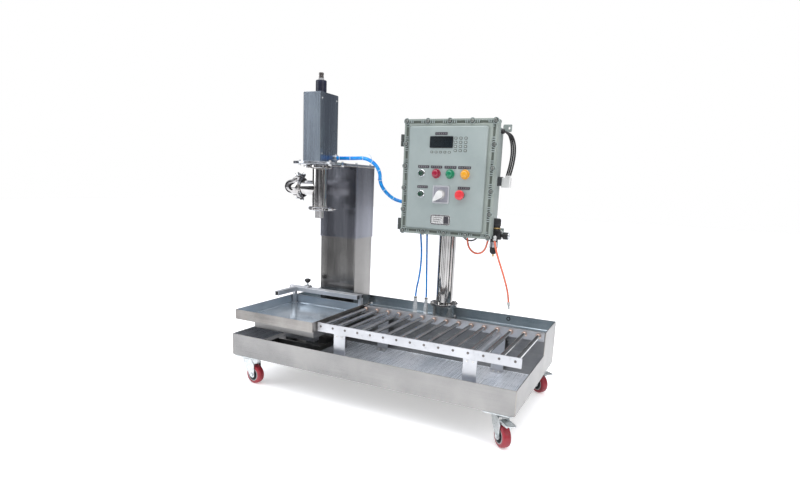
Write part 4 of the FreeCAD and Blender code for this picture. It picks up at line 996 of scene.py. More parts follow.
def make_weighing():
    """The pan with its rolled rim, the guide behind it and the stop that slides along."""
    pan = [basin(-587, -203, -314, 82, 272, 313, 2, PAN_FLOOR_Z, "pan steel", "pan floor", 2.5,
                 0.8)]
    for x, y in ((-586.4, -313.4), (-203.6, -313.4), (-586.4, 81.4), (-203.6, 81.4)):
        pan.append(weld([(x, y, 275), (x, y, 311)]))
    dress("weigh_pan", pan, "machine")

    left, right = -581, -205
    stand = [hollow(left - 14, right, 62, 78, 342, 358, 1.6, "white rail", "right", 1.6),
             hollow(left, left + 16, 62, 78, PAN_FLOOR_Z, 342, 1.6, "white rail", "up", 1.6),
             hollow(right - 16, right, 62, 78, PAN_FLOOR_Z, 342, 1.6, "white rail", "up", 1.6),
             block(left - 16.5, left - 13, 62.6, 77.4, 342.6, 357.4, "black plastic", "left", 1.5),
             block(right - 1, right + 0.8, 63, 77, 343, 357, "black plastic", "right", 1.5)]
    for x in (left + 8, right - 8):
        stand.append(block(x - 13, x + 13, 60.5, 79.5, PAN_FLOOR_Z, 276.4, "white rail",
                           corner=2.5))
        for sx in (-1, 1):
            stand.append(hex_head(5, 2.4, "nickel").put(x + sx * 10.3, 70, 276.3))
    dress("guide_stand", stand, "machine")

    slide = [hollow(-557, -212, 36, 56, 339, 359, 1.8, "white rail", "right", 2.0),
             hollow(-557, -537, -97, 36.5, 339, 359, 1.8, "white rail", "front", 2.0),
             block(-558, -555.5, 37, 55, 340, 358, "white rail", "left", 1.5),
             block(-556, -538, -95, -93.2, 340, 358, "black plastic", "front", 1.5),
             block(-213.5, -211, 37, 55, 340, 358, "black plastic", "right", 1.5),
             hollow(-515, -485, 56, 84, 336, 364, 5.85, "white rail", "right", 2.5, 0.8)]
    for x in (-509, -491):
        slide.append(hex_head(6.5, 3, "nickel", socket=3).put(x, 59.2, 363.8))
        slide.append(hex_head(6.5, 3, "nickel", socket=3).put(x, 80.8, 363.8))
    stem = [(0.1, 362), (4, 362)]
    stem += [(4 - 0.5 * (k % 2), 364 + 1.5 * k) for k in range(8)] + [(4, 379), (0.1, 379)]
    slide.append(lathe(stem, "zinc", 24).put(-500, 70))
    slide.append(disc(7.5, 364, 368, "zinc", 30, 0.6).put(-500, 70))
    slide.append(fluted([(0.1, 378), (7, 378), (9.5, 381), (14, 386), (15.8, 389), (15.4, 391.5),
                         (11, 395.5), (5, 397.4), (0.1, 397.8)], 6, 1.6, "black plastic").put(-500,
                                                                                              70))
    dress("guide_bar", slide, "guide_bar")


# ---------------------------------------------------------------- roller conveyor

ROLLER_X = np.linspace(-183, 579, 15)


def make_conveyor():
    """Two flat rails on four legs, with the axle ends showing through them, and the rollers."""
    frame = []
    for y0, outer in ((-286, "front"), (75, "back")):
        frame.append(block(-198, 600, y0, y0 + 5, 275, 310, "white rail", "front", 1.2, 0.7))
        for x in (-123, 400):
            frame.append(block(x, x + 50, y0 + 0.2, y0 + 4.8, FLOOR_Z, 275.5, "white rail", "front",
                               1.5, 0.6))
            foot = (y0 - 22, y0 + 3) if outer == "back" else (y0 + 3, y0 + 28)
            frame.append(block(x + 2, x + 48, *foot, FLOOR_Z, 124, "white rail", "up", 3))
            for bx in (x + 14, x + 36):
                frame.append(hex_head(9, 4, "nickel").put(bx, sum(foot) / 2, 123.8))
                frame.append(hex_head(8, 2.6, "nickel", socket=4).put(
                    bx, y0 if outer == "front" else y0 + 5, 268, outer))
        face = y0 if outer == "front" else y0 + 5
        for x in ROLLER_X:
            frame.append(lathe([(0.1, 0.25), (2.7, 0.25), (2.7, 0.05), (3.3, 0.6), (4.6, 0.6),
                                (4.6, -0.4), (0.1, -0.4)][::-1], "dark rod", 20, 0.1).put(
                                    x, face, ROLLER_Z, outer))
    for x in (-108, 415):
        frame.append(hollow(x, x + 20, -281, 75, 262, 282, 1.6, "rail inside", "back", 2.0))
    for x in ROLLER_X:
        frame.append(bar(-281.5, 75.5, x, ROLLER_Z, 4, "nickel", "back", 16))
    frame.append(block(-203, -197.6, 58, 79, 290, 309, "black plastic", "left", 2.0, 0.8))
    frame.append(block(-202, -190, 72, 75.2, 292, 307, "black plastic", "front", 2.0, 0.8))
    dress("conveyor_frame", frame, "machine")
    for number, x in enumerate(ROLLER_X, 1):
        name = "roller_%02d" % number
        tube = washer(4.2, 8, 10, 338, "roller steel", 32, 0.5)
        cup = [(4.15, 0), (9.2, 0), (10.8, 1.6), (10.8, 7.6), (9.4, 11), (8.1, 13), (7.2, 13),
               (4.15, 13)]
        near = lathe(cup, "bronze cup", 32, 0.6, loop=True)
        far = lathe([(r, 348 - h) for r, h in cup][::-1], "bronze cup", 32, 0.6, loop=True)
        roller = [s.put(x, -277, ROLLER_Z, "back") for s in (tube, near, far)]
        dress(name, roller, name)


make_base()
for caster_name, (caster_x, caster_y, caster_turn) in CASTERS.items():
    make_caster(caster_name, caster_x, caster_y, caster_turn)
make_weighing()
make_conveyor()


# ---------------------------------------------------------------- column and filling head

# The valve's axis and the height of its branch.
HEAD_X, HEAD_Y = -381, -15
BRANCH_Z = 817


def pipe(path, radius, bore, finish, around=48, up=(0, 0, 1)):
    """A hollow tube along a path: out along the outside and back along the bore."""
    outside = swept(path, radius, finish, around, up).grid
    inside = swept(path, bore, finish, around, up).grid[::-1]
    return Shell(np.concatenate([outside, inside]), finish, loop=True)


def make_scale():
    """Two welded frames of square tube with the load cell between them."""
    frame = []
    for z in (FLOOR_Z, 226):
        for y in (-246, 14):
            frame.append(block(-545, -245, y - (0 if y < 0 else 40), y + (40 if y < 0 else 0), z,
                               z + 40, "scale steel", "right", 3, 0.6))
        for x in (-545, -285):
            frame.append(block(x, x + 40, -207, -25, z, z + 40, "scale steel", "back", 3, 0.6))
        frame.append(block(-506, -284, -136, -96, z + 0.4, z + 39.6, "scale steel", "right", 3))
    frame.append(block(-470, -320, -136, -96, 171, 213, "white rail", "right", 2, 0.8))
    for x in (-470, -360):
        frame.append(block(x, x + 40, -134, -98, 160, 172, "zinc dark", "up", 1))
        frame.append(block(x, x + 40, -134, -98, 212, 227, "zinc dark", "up", 1))
    for x in (-407, -383):
        frame.append(lathe([(0.1, -0.4), (10.5, -0.4), (10.5, 0.5), (9, 0.5), (9, -0.1),
                            (0.1, -0.1)], "zinc dark", 28).put(x, -136, 192, "front"))
    for x in (-520, -270):
        for y in (-221, -11):
            frame.append(disc(14, 266, 272, "rubber black", 32, 0.8).put(x, y))
            frame.append(lathe([(0.1, FLOOR_Z), (9, FLOOR_Z), (9, 118.4), (0.1, 118.4)][::-1],
                               "zinc dark", 24).put(x, y))
    dress("weigh_scale", frame, "machine")


def make_column():
    """Square mast on a bolted foot; the sleeve and the head plate ride up and down on it."""
    mast = [hollow(-474, -288, 136, 292, 266.5, 700, 2.4, "mast steel", "up", 4, 0.5),
            block(-488, -274, 122, 306, DECK_Z, 267, "plate steel", "up", 6, 0.9)]
    for x in (-481, -281):
        for y in (131, 214, 297):
            mast.append(disc(6, 267, 268, "nickel", 20).put(x, y))
            mast.append(hex_head(9, 4.5, "nickel").put(x, y, 267.8, spin=x + y))
    for y in (136, 292):
        mast.append(weld([(-471, y, 267.4), (-291, y, 267.4)]))
    for x in (-474, -288):
        mast.append(weld([(x, 139, 267.4), (x, 289, 267.4)]))
    dress("column_mast", mast, "machine")

    sleeve = [hollow(-477, -285, 133, 295, 596, 916, 2.4, "column steel", "up", 4.5, 0.6),
              hollow(-477.5, -284.5, 132.5, 295.5, 596.2, 603, 1.5, "column steel", "up", 5, 0.4)]
    sleeve.append(weld([(-473, 133, 915.6), (-289, 133, 915.6)]))
    for x in (-477, -285):
        sleeve.append(weld([(x, 137, 915.6), (x, 291, 915.6)]))
    dress("column_sleeve", sleeve, "filling_head")

    angle = np.radians(np.linspace(149, 391, 66))
    rim = [(-285, 294), (-286, 295), (-476, 295), (-477, 294)]
    rim += list(zip(HEAD_X + 112 * np.cos(angle), HEAD_Y + 112 * np.sin(angle)))
    top = [plate(outline_of(rim), 10, "plate steel", 1.0).put(0, 0, 916)]
    for x, y in ((-461, 152), (-301, 152), (-461, 278), (-301, 278), (-457, 42), (-305, 42),
                 (-457, -55), (-305, -55)):
        top.append(disc(7.5, 926, 927, "nickel", 24).put(x, y))
        top.append(hex_head(10, 6, "nickel", socket=5).put(x, y, 926.8))
        top.append(hex_head(11, 6, "nickel").put(x, y, 916.2, "down", x))
    dress("head_plate", top, "filling_head")


def make_housing():
    """The square cylinder cover, its stop sleeve and bush, and the rod that comes out of it."""
    house = [hollow(-423.5, -338.5, -78, 51, 926, 1203, 1.6, "housing steel", "up", 2.2, 0.5),
             block(-422.6, -339.4, -77, 50, 1200.4, 1203.4, "housing steel", "up", 2, 0.5)]
    for x in (-423.5, -338.5):
        house.append(weld([(x, -76, 926.6), (x, 49, 926.6)]))
    house.append(weld([(-421, -78, 926.6), (-341, -78, 926.6)]))
    # A thin chrome rod down each upright corner of the cover: painted highlight on its edges.
    for x, y in ((-423.1, -77.6), (-338.9, -77.6), (-338.9, 50.6), (-423.1, 50.6)):
        house.append(swept([(x, y, 928), (x, y, 1060), (x, y, 1201)], 0.9, "gloss chrome", 10,
                           up=(0, 1, 0)))
    collar = [(8.4, 1203), (26, 1203), (26, 1205.5), (22.5, 1206.5), (22.5, 1253.5), (21, 1256),
              (8.4, 1256)]
    house.append(lathe(collar, "navy sleeve", 48, 0.7, loop=True).put(HEAD_X, HEAD_Y))
    house.append(lathe([(8.3, 1256), (14, 1256), (14, 1258.5), (11.5, 1260), (11.5, 1264), (10.5,
                                                                                            1265),
                        (8.3, 1265)], "pale ring", 40, 0.4, loop=True).put(HEAD_X, HEAD_Y))
    house.append(lathe([(8.3, 0), (14.5, 0), (14.5, 3), (11.5, 4), (11.5, 9), (8.3, 9)],
                       "gloss chrome", 32, 0.5, loop=True).put(-338.4, 40, 947, "right"))
    for z in (960, 1180):
        for y in (-66, 39):
            for x, facing in ((-423.4, "left"), (-338.6, "right")):
                house.append(lathe([(0.1, 0), (3.2, 0), (3.0, 0.9), (0.1, 1.1)], "nickel", 18,
                                   0.2).put(x, y, z, facing))
    dress("cylinder_housing", house, "filling_head")

    rod = [lathe([(0.1, 696), (12.5, 696), (15, 699.5), (15, 707), (8, 712), (8, 1266),
                  (0.1, 1266)], "polished steel", 40, 0.6).put(HEAD_X, HEAD_Y),
           lathe([(0.1, 1265.2), (10, 1265.2), (10, 1272), (8.8, 1273), (8.8, 1276), (10, 1277),
                  (10, 1285), (8.2, 1287), (3.4, 1287), (3.4, 1282), (0.1, 1282)], "dark rod", 36,
                 0.4).put(HEAD_X, HEAD_Y)]
    dress("valve_rod", rod, "valve_rod")


def make_valve():
    """Polished valve body with its side branch and spout, and the elbow that feeds it."""
    body = lathe([(30.1, 730), (38.75, 730), (38.75, 733), (33.2, 736.4), (31.75, 738),
                  (31.75, 902), (33.2, 903.6), (38.75, 907), (38.75, 916), (30.1, 916)],
                 "polished steel", 72, 0.5, loop=True)
    band = [lathe([(31.6, z), (32.5, z + 0.8), (32.5, z + 1.8), (31.6, z + 2.6)], "weld bead", 72,
                  0.3, loop=True) for z in (741, 897)]
    branch = lathe([(30.1, 3), (31.75, 3), (31.75, 85), (33.2, 87.2), (38.75, 90.6), (38.75, 93.6),
                    (30.1, 93.6)], "polished steel", 64, 0.5, loop=True)
    spout = lathe([(17.05, 690), (18.4, 690), (19.05, 691), (19.05, 720), (21, 723), (36, 724.2),
                   (38.75, 726.5), (38.75, 729.8), (17.05, 729.8)], "polished steel", 64, 0.5,
                  loop=True)
    seal = [washer(31, 38.2, z, z + 1.2, "rubber black", 48) for z in (729.6, 909.6)]
    valve = [s.put(HEAD_X, HEAD_Y) for s in [body, spout] + band + seal]
    valve.append(branch.put(HEAD_X, HEAD_Y, BRANCH_Z, "left"))
    side = np.linspace(0, 2 * np.pi, 96, endpoint=False)
    joint = np.stack([HEAD_X - np.sqrt(31.9 ** 2 - (31.75 * np.cos(side)) ** 2),
                      HEAD_Y + 31.75 * np.cos(side), BRANCH_Z + 31.75 * np.sin(side)], axis=1)
    valve.append(swept(joint, 1.3, "weld bead", 8, up=(-1, 0, 0.01), loop=True))
    dress("filling_valve", valve, "filling_head")

    angle = np.radians(np.linspace(270, 180, 40))
    bend = list(zip(-480.75 + 95 * np.cos(angle), 80 + 95 * np.sin(angle)))
    line = [(-475, -15), (-477.5, -15), (-480.2, -15)] + bend[1:] + [
        (-575.75, 93.8), (-575.75, 97.5), (-575.75, 101)]
    size = np.full(len(line), 31.75)
    size[:3] = (38.75, 38.75, 33.0)
    size[-3:] = (33.0, 38.75, 38.75)
    path = np.column_stack([np.array(line), np.full(len(line), float(BRANCH_Z))])
    elbow = [pipe(path, size, 30.1, "polished steel", 64)]
    elbow.append(lathe([(31.6, 0), (32.4, 0.6), (32.4, 1.4), (31.6, 2)], "weld bead", 64, 0.2,
                       loop=True).put(-575.75, 80, BRANCH_Z, "back"))
    dress("inlet_elbow", elbow, "filling_head")


# Each clamp's middle, the way its bore runs and the way its wing nut stands.
CLAMPS = [((HEAD_X, HEAD_Y, 730), (0, 0, 1), (1, 0, 0)), ((HEAD_X, HEAD_Y, 908), (0, 0, 1), (-1, 0,
                                                                                             0)),
          ((-474.75, HEAD_Y, BRANCH_Z), (1, 0, 0), (0, 0, 1)), ((-575.75, 93, BRANCH_Z), (0, 1, 0),
                                                                (0, 0, 1))]


def make_clamps():
    """Two half rings with forked lugs, a bolt through them and a wing nut; a hinge opposite."""
    section = eased([(3.1, -8), (3.1, 8), (0.6, 8), (-3, 4.6), (-3, -4.6), (0.6, -8)], 0.9, 2,
                    closed=True)
    pieces = []
    wing = [(-4.5, 15.5), (4.5, 15.5), (5, 20), (11, 24), (12, 30), (8.5, 32.5), (2.2, 27),
            (-2.2, 27), (-8.5, 32.5), (-12, 30), (-11, 24), (-5, 20)]
    for place, axis, across in CLAMPS:
        way = np.array([across, np.cross(axis, across), axis], float)
        clamp = []
        for start in (3, 183):
            angle = np.radians(np.linspace(start, start + 174, 44))
            arc = np.stack([42 * np.cos(angle), 42 * np.sin(angle), 0 * angle], axis=1)
            clamp.append(swept(arc, 1, "polished steel", section=section))
        for y0 in (-15, 2):
            clamp.append(block(43.4, 57, y0, y0 + 13, -7, 7, "polished steel", "back", 4, 1.6))
            clamp.append(block(-54, -43.6, y0 * 0.5 + 1, y0 * 0.5 + 5.4, -6.4, 6.4,
                               "polished steel", "back", 3, 1.2))
        clamp.append(disc(4.6, -8.4, 8.4, "gloss chrome", 24, 1.0).put(-51.5, 0, 0))
        clamp.append(lathe([(0.1, 0), (7, 0), (7, 4), (4, 5), (4, 50), (0.1, 51)], "gloss chrome",
                           24, 0.5).put(53, -19, 0, "back"))
        clamp.append(lathe([(0.1, 0), (7.5, 0), (6.4, 9), (5, 11), (0.1, 11)], "polished steel", 24,
                           0.8).put(53, 15.4, 0, "back"))
        clamp.append(plate(outline_of(eased(wing, 1.8, 3, closed=True)), 4.4, "polished steel",
                           1.2).put(53, 0, -2.2))
        pieces += [s.put(*place, facing=way) for s in clamp]
    dress("clamp_rings", pieces, "filling_head")


make_scale()
make_column()
make_housing()
make_valve()
make_clamps()


# ---------------------------------------------------------------- control box

# The middle of the box, seen from the front, and the x and z of its bolts.
BOX_X, BOX_Z = 130, 880.5
BOLTS = [(x, z) for x in (-63, 33.5, 130, 226.5, 323) for z in (651, 1110)]
BOLTS += [(x, z) for x in (-63, 323) for z in (742.8, 834.6, 926.4, 1018.2)]


def holed(width, height, at_x, at_y, radius, depth, finish, around=48):
    """A rectangular lug with a round hole: both edges are sampled at the same angles."""
    angle = np.linspace(0, 2 * np.pi, around, endpoint=False)
    c, s = np.cos(angle), np.sin(angle)
    reach = np.minimum(np.where(c > 0, width / 2 - at_x, width / 2 + at_x) / np.maximum(np.abs(c),
                                                                                        1e-6),
                       np.where(s > 0, height / 2 - at_y, height / 2 + at_y) / np.maximum(np.abs(s),
                                                                                          1e-6))
    soft = np.minimum(reach, np.percentile(reach, 94))
    rows = []
    for size, level in ((soft - 1, 0), (soft, 1), (soft, depth - 1.2), (soft - 1.2, depth),
                        (np.full(around, radius + 0.6), depth), (np.full(around, radius),
                                                                 depth - 0.6),
                        (np.full(around, radius), 0)):
        rows.append(np.stack([at_x + size * c, at_y + size * s, np.full(around, level)], axis=1))
    return Shell(np.stack(rows), finish, loop=True)


def make_case():
    """Cast case: a deep back with a thick front flange, wall lugs and the hinge halves."""
    inner = [(60, 8), (12, 8), (12, 114), (1, 116), (0, 116), (0, 0), (60, 0)]
    profile = eased(inner[::-1], 4, 4)
    case = [raised(oblong(364, 437, 14), profile, "case paint").put(BOX_X, 320, BOX_Z, "front"),
            hollow(-72, 332, 181.6, 205, 642, 1119, 30, "case paint", "front", 16, 2.2)]
    for x0, hole_x in ((-86, -76), (310, 336)):
        for z0, hole_z in ((650, 665), (1081, 1096)):
            lug = holed(36, 30, hole_x - x0 - 18, hole_z - z0 - 15, 5, 8, "case paint")
            case.append(lug.put(x0 + 18, 320, z0 + 15, "front"))
    for x, z in BOLTS:
        case.append(lathe([(0.1, 0), (9.5, 0), (9.5, 5), (7.5, 6), (0.1, 6)], "case paint", 28,
                          0.8).put(x, 204, z, "back"))
    for z in (654, 1007):
        case.append(disc(8, z, z + 24.6, "hinge black and painted shade", 32, 0.9).put(-82, 165))
        case.append(block(-87, -71, 167, 196, z + 2, z + 22.5, "hinge black and painted shade", "left", 3, 1.2))
    dress("box_case", case, "machine")


def make_door():
    """Flanged door: an outer bead, a groove with short ribs, bolt bosses and a raised panel."""
    profile = eased([(40, 0), (0, 0), (0, 23), (6.5, 23), (8.5, 19.5), (18, 19.5), (20, 22),
                     (40, 22)], 1.3, 3)
    door = [raised(oblong(404, 477, 16), profile, "flange paint").put(BOX_X, 180.6, BOX_Z, "front")]
    # The groove floor is painted dark: painted shade in the groove between the bead and the ribs.
    door.append(raised(oblong(404, 477, 16), [(8.4, 19.2), (8.4, 19.9), (18.4, 19.9), (18.4, 19.2)],
                       "painted shade green", loop=True).put(BOX_X, 180.6, BOX_Z, "front"))
    panel = eased([(0, 0), (0, 5.2), (3.4, 8.6), (12, 8.6)], [[0.6], [0.9]], 3)
    door.append(raised(oblong(341, 422, 9), panel, "door paint").put(125.5, 157.6, 878, "front"))
    # A dark ring round the foot of the raised panel: painted shade where it meets the flange.
    door.append(raised(oblong(351, 432, 12), eased([(0, 0), (0, 2), (3, 3.2), (9, 3.2)], 0.6),
                       "panel foot painted shade").put(125.5, 159.8, 878, "front"))
    for x, z in BOLTS:
        door.append(lathe([(0.1, 0), (13, 0), (12.6, 4.6), (10.4, 4.6), (10.1, 2.4), (0.1, 2.4)],
                          "door paint", 36, 0.7).put(x, 160.8, z, "front"))
        # A black disc at the bottom of the boss's recess round the bolt head: painted shade.
        door.append(disc(9.9, 0, 0.9, "hinge black and painted shade", 28).put(x, 158.6, z, "front"))
        door.append(lathe([(0.1, 0), (6.6, 0), (6.6, 4.2), (5.6, 5.2), (3.2, 5.2), (3, 2.4),
                           (0.1, 2.4)], "bolt grey", 28, 0.3).put(x, 157.3, z, "front"))
        sideways = x in (-63, 323) and z not in (651, 1110)
        for step in (-20, -28, 20, 28):
            if sideways:
                x0 = -66 if x < 0 else 312
                door.append(block(x0, x0 + 14, 156.9, 161.5, z + step - 1.7, z + step + 1.7,
                                  "door paint", "front", 0.8, 0.5))
            elif -60 < x < 320 or step * (1 if x < 0 else -1) > 0:
                z0 = 645 if z < 800 else 1102
                door.append(block(x + step - 1.7, x + step + 1.7, 156.9, 161.5, z0, z0 + 14,
                                  "door paint", "front", 0.8, 0.5))
    for x0, sign in ((-61, 1), (321, -1)):
        for z in (664, 671, 1088, 1096):
            door.append(block(min(x0, x0 + 10 * sign), max(x0, x0 + 10 * sign), 156.9, 161.5,
                              z - 1.2, z + 1.2, "door paint", "front", 0.8, 0.5))
    for z in (679.4, 1032.4):
        door.append(disc(8, z, z + 24.6, "hinge black and painted shade", 32, 0.9).put(-82, 165))
        door.append(block(-84, -70, 160, 172, z + 2, z + 22.5, "hinge black and painted shade", "left", 3, 1.2))
    door.append(hollow(-40, 300, 180, 181.4, 672, 1089, 8, "rubber black", "back", 8, 0.5))
    dress("box_door", door, "control_door")


# The panel's face, and places on it as x and z.
PANEL_Y = 149
BUTTONS_AT = {"push_button_upper": (19.5, 898), "push_button_lower": (21, 812)}
STOP_AT, SELECTOR_AT, READOUT_AT, PLATE_AT = (199.3, 815), (112, 813), (102, 1025), (115, 708)


def on_door(shell, x, z, out=0.0):
    """A shell stood on the face of the panel."""
    return shell.put(x, PANEL_Y - out, z, "front")


def dial_marks(count, radius, sweep):
    """Short radial bars round a centre."""
    marks = []
    for index in range(count):
        a = sweep * (index / (count - 1) - 0.5)
        marks.append(block(radius - 2.6, radius, -0.4, 0.4, 0, 0.3, "label dark", "up", 0.1,
                           0.1).put(0, 0, 0, spin=90 - a))
    return marks


def teardrop(radius, tip, reach, turn):
    """Outline round a large circle and a small one, reach apart, along a direction."""
    lean = math.degrees(math.acos((radius - tip) / reach))
    a = np.radians(turn + np.linspace(lean, 360 - lean, 40))
    b = np.radians(turn + np.linspace(-lean, lean, 14))
    t = math.radians(turn)
    return ([(radius * math.cos(v), radius * math.sin(v)) for v in a]
            + [(reach * math.cos(t) + tip * math.cos(v), reach * math.sin(t) + tip * math.sin(v))
               for v in b])


def make_controls():
    """Everything set in the panel: bezels, lamps, readout, keys, labels and plates."""
    parts = []

    def badge(size, depth, finish, ease, x, z, out=0.0):
        """A small plate of (width, height, corner) on the panel."""
        parts.append(on_door(plate(oblong(*size), depth, finish, ease), x, z, out))

    for x, z in BUTTONS_AT.values():
        parts.append(on_door(lathe([(11.7, -1), (16.5, -1), (16.5, 2.4), (14, 5), (11.7, 5)],
                                   "gloss chrome", 44, 0.6, loop=True), x, z))
    for x, tone in ((86.4, "lamp red"), (147.7, "lamp green"), (212.7, "lamp amber")):
        parts.append(on_door(lathe([(0.1, 0), (20, 0), (20, 2.6), (17.5, 5), (0.1, 5)], tone, 48,
                                   0.8), x, 898))
        dome = [(0.1, 4.6), (15.5, 4.6), (15.5, 13), (13.6, 17), (9, 19.4), (0.1, 20)]
        parts.append(on_door(fluted(dome, 24, 0.7, tone, 96, 1.2), x, 898))
    parts.append(on_door(lathe([(9.2, 0), (17, 0), (17, 2.5), (15, 6), (9.2, 6)], "black plastic",
                               44, 0.8, loop=True), *STOP_AT))
    badge((74, 74, 6), 2.2, "white rail", 0.8, *SELECTOR_AT)
    badge((62, 62, 4), 1.4, "grey switch", 0.5, *SELECTOR_AT, 1.7)
    parts.append(on_door(lathe([(0.1, 0), (21, 0), (20, 0.6), (0.1, 0.6)], "pale ring", 48, 0.2),
                         *SELECTOR_AT, 2.6))
    parts += [on_door(mark, *SELECTOR_AT, 3.0) for mark in dial_marks(3, 28, 90)]
    badge((98, 43, 3), 2, "black gloss", 0.6, *READOUT_AT)
    badge((82, 28, 1.5), 0.4, "black gloss", 0.2, *READOUT_AT, 1.8)
    parts.append(on_door(hollow(-51, 51, -23.5, 23.5, 0, 2.6, 2.0, "black plastic", "up", 4, 0.5),
                         *READOUT_AT))
    for x in (164, 185.5, 207):
        for z in (1041, 1024.7, 1008.3, 992):
            # A dark plate under each key, wider than its cap: painted shadow round the key.
            badge((13.5, 11, 4), 0.7, "painted shade green", 0.3, x, z)
            badge((9, 7, 3), 2.4, "key cap", 1.0, x, z)
            badge((4, 1.1, 0.4), 0.3, "label dark", 0.1, x, z, 1.9)
    for x in (61, 80.5, 100, 119.5, 139):
        # A dark plate under each key, wider than its cap: painted shadow round the key.
        badge((13, 9.5, 4), 0.7, "painted shade green", 0.3, x, 985)
        badge((8.5, 6, 2.4), 2.4, "key cap", 1.0, x, 985)
        badge((4, 1, 0.4), 0.3, "label dark", 0.1, x, 985, 1.9)
    for x, z, length in ((28, 925, 51), (86, 925, 51), (148, 925, 52), (209, 925, 55),
                         (27, 842, 48), (211, 843, 52), (100, 1059, 54)):
        badge((length, 11, 1), 1.2, "label dark", 0.3, x, z)
        for index in range(5):
            at = x + (index - 2) * length / 5.6
            badge((5.6, 1.1, 0.2), 0.2, "label pale", 0.05, at, z + 1.6, 1.15)
            badge((3.4, 1.1, 0.2), 0.2, "label pale", 0.05, at, z - 1.6, 1.15)
    badge((88, 42, 5), 1.2, "nickel", 0.4, *PLATE_AT)
    parts.append(on_door(hollow(-43, 43, -20, 20, 0, 0.5, 3.6, "label dark", "up", 5, 0.1),
                         *PLATE_AT, 1.1))
    badge((22, 30, 3), 0.4, "label dark", 0.1, 141, 708, 1.1)
    for row in range(3):
        badge((42 - 8 * row, 1.6, 0.3), 0.3, "label dark", 0.1, 103 - 4 * row, 717 - 8 * row, 1.1)
    for x in (74, 156):
        for z in (690, 726):
            parts.append(on_door(lathe([(0.1, 0), (1.6, 0), (1.3, 0.8), (0.1, 0.9)], "nickel", 14),
                                 x, z, 1.0))
    dress("door_fittings", parts, "control_door")

    for name, (x, z) in BUTTONS_AT.items():
        cap = lathe([(0.1, -12), (11.4, -12), (11.4, 9.5), (9.6, 12), (7.6, 11), (0.1, 10.4)],
                    "button green", 44, 0.8)
        dress(name, [on_door(cap, x, z)], name)
    head = [(0.1, -0.6), (8.9, -0.6), (8.9, 11), (16.5, 11), (20, 13.6), (20, 19.5), (17.6, 23.4),
            (11, 25), (0.1, 24.4)]
    dress("emergency_stop", [on_door(lathe(head, "estop red", 56, 1.6), *STOP_AT)],
          "emergency_stop")
    knob = [on_door(plate(outline_of(teardrop(16, 5, 33, 225)), 19.6, "white plastic", 2.6),
                    *SELECTOR_AT, 3.6), on_door(plate(outline_of(teardrop(11, 3, 26, 225)), 0.7,
                                                      "white plastic", 0.5), *SELECTOR_AT, 23)]
    dress("selector_knob", knob, "selector_knob")


# ---------------------------------------------------------------- post, air set and fittings

def make_post():
    """Polished post clamped in a flanged socket, with the plate that carries the box."""
    x, y = 117.5, 246
    post = [disc(38, 262, 656, "post steel", 72, 0.4),
            washer(38.2, 49, 259.4, 334, "post steel", 72, 0.6),
            washer(38.4, 62, DECK_Z, 270, "post steel", 80, 1.0),
            washer(38.4, 62, 324, 335, "post steel", 80, 1.0)]
    post = [s.put(x, y) for s in post]
    for index in range(4):
        a = math.radians(45 + 90 * index)
        at = (x + 56 * math.cos(a), y + 56 * math.sin(a))
        post.append(hex_head(9.6, 5, "nickel").put(*at, 269.8, spin=20 * index))
        post.append(hex_head(9.6, 5, "nickel").put(*at, 334.8, spin=35 * index))
        post.append(hex_head(9.6, 5, "nickel").put(*at, 324.2, "down", 15 * index))
    post.append(block(55.5, 179.5, 205.4, 308, 656, 662, "plate steel", "up", 5, 0.8))
    for sx in (64, 171):
        for sy in (215, 299):
            post.append(hex_head(9, 4.4, "nickel").put(sx, sy, 656.2, "down", 10))
    dress("box_post", post, "machine")


# Where the gauge stands and the regulator's axis.
GAUGE_AT = (362, 220, 656.5, "right")
KNOB_AT = (340, 220)


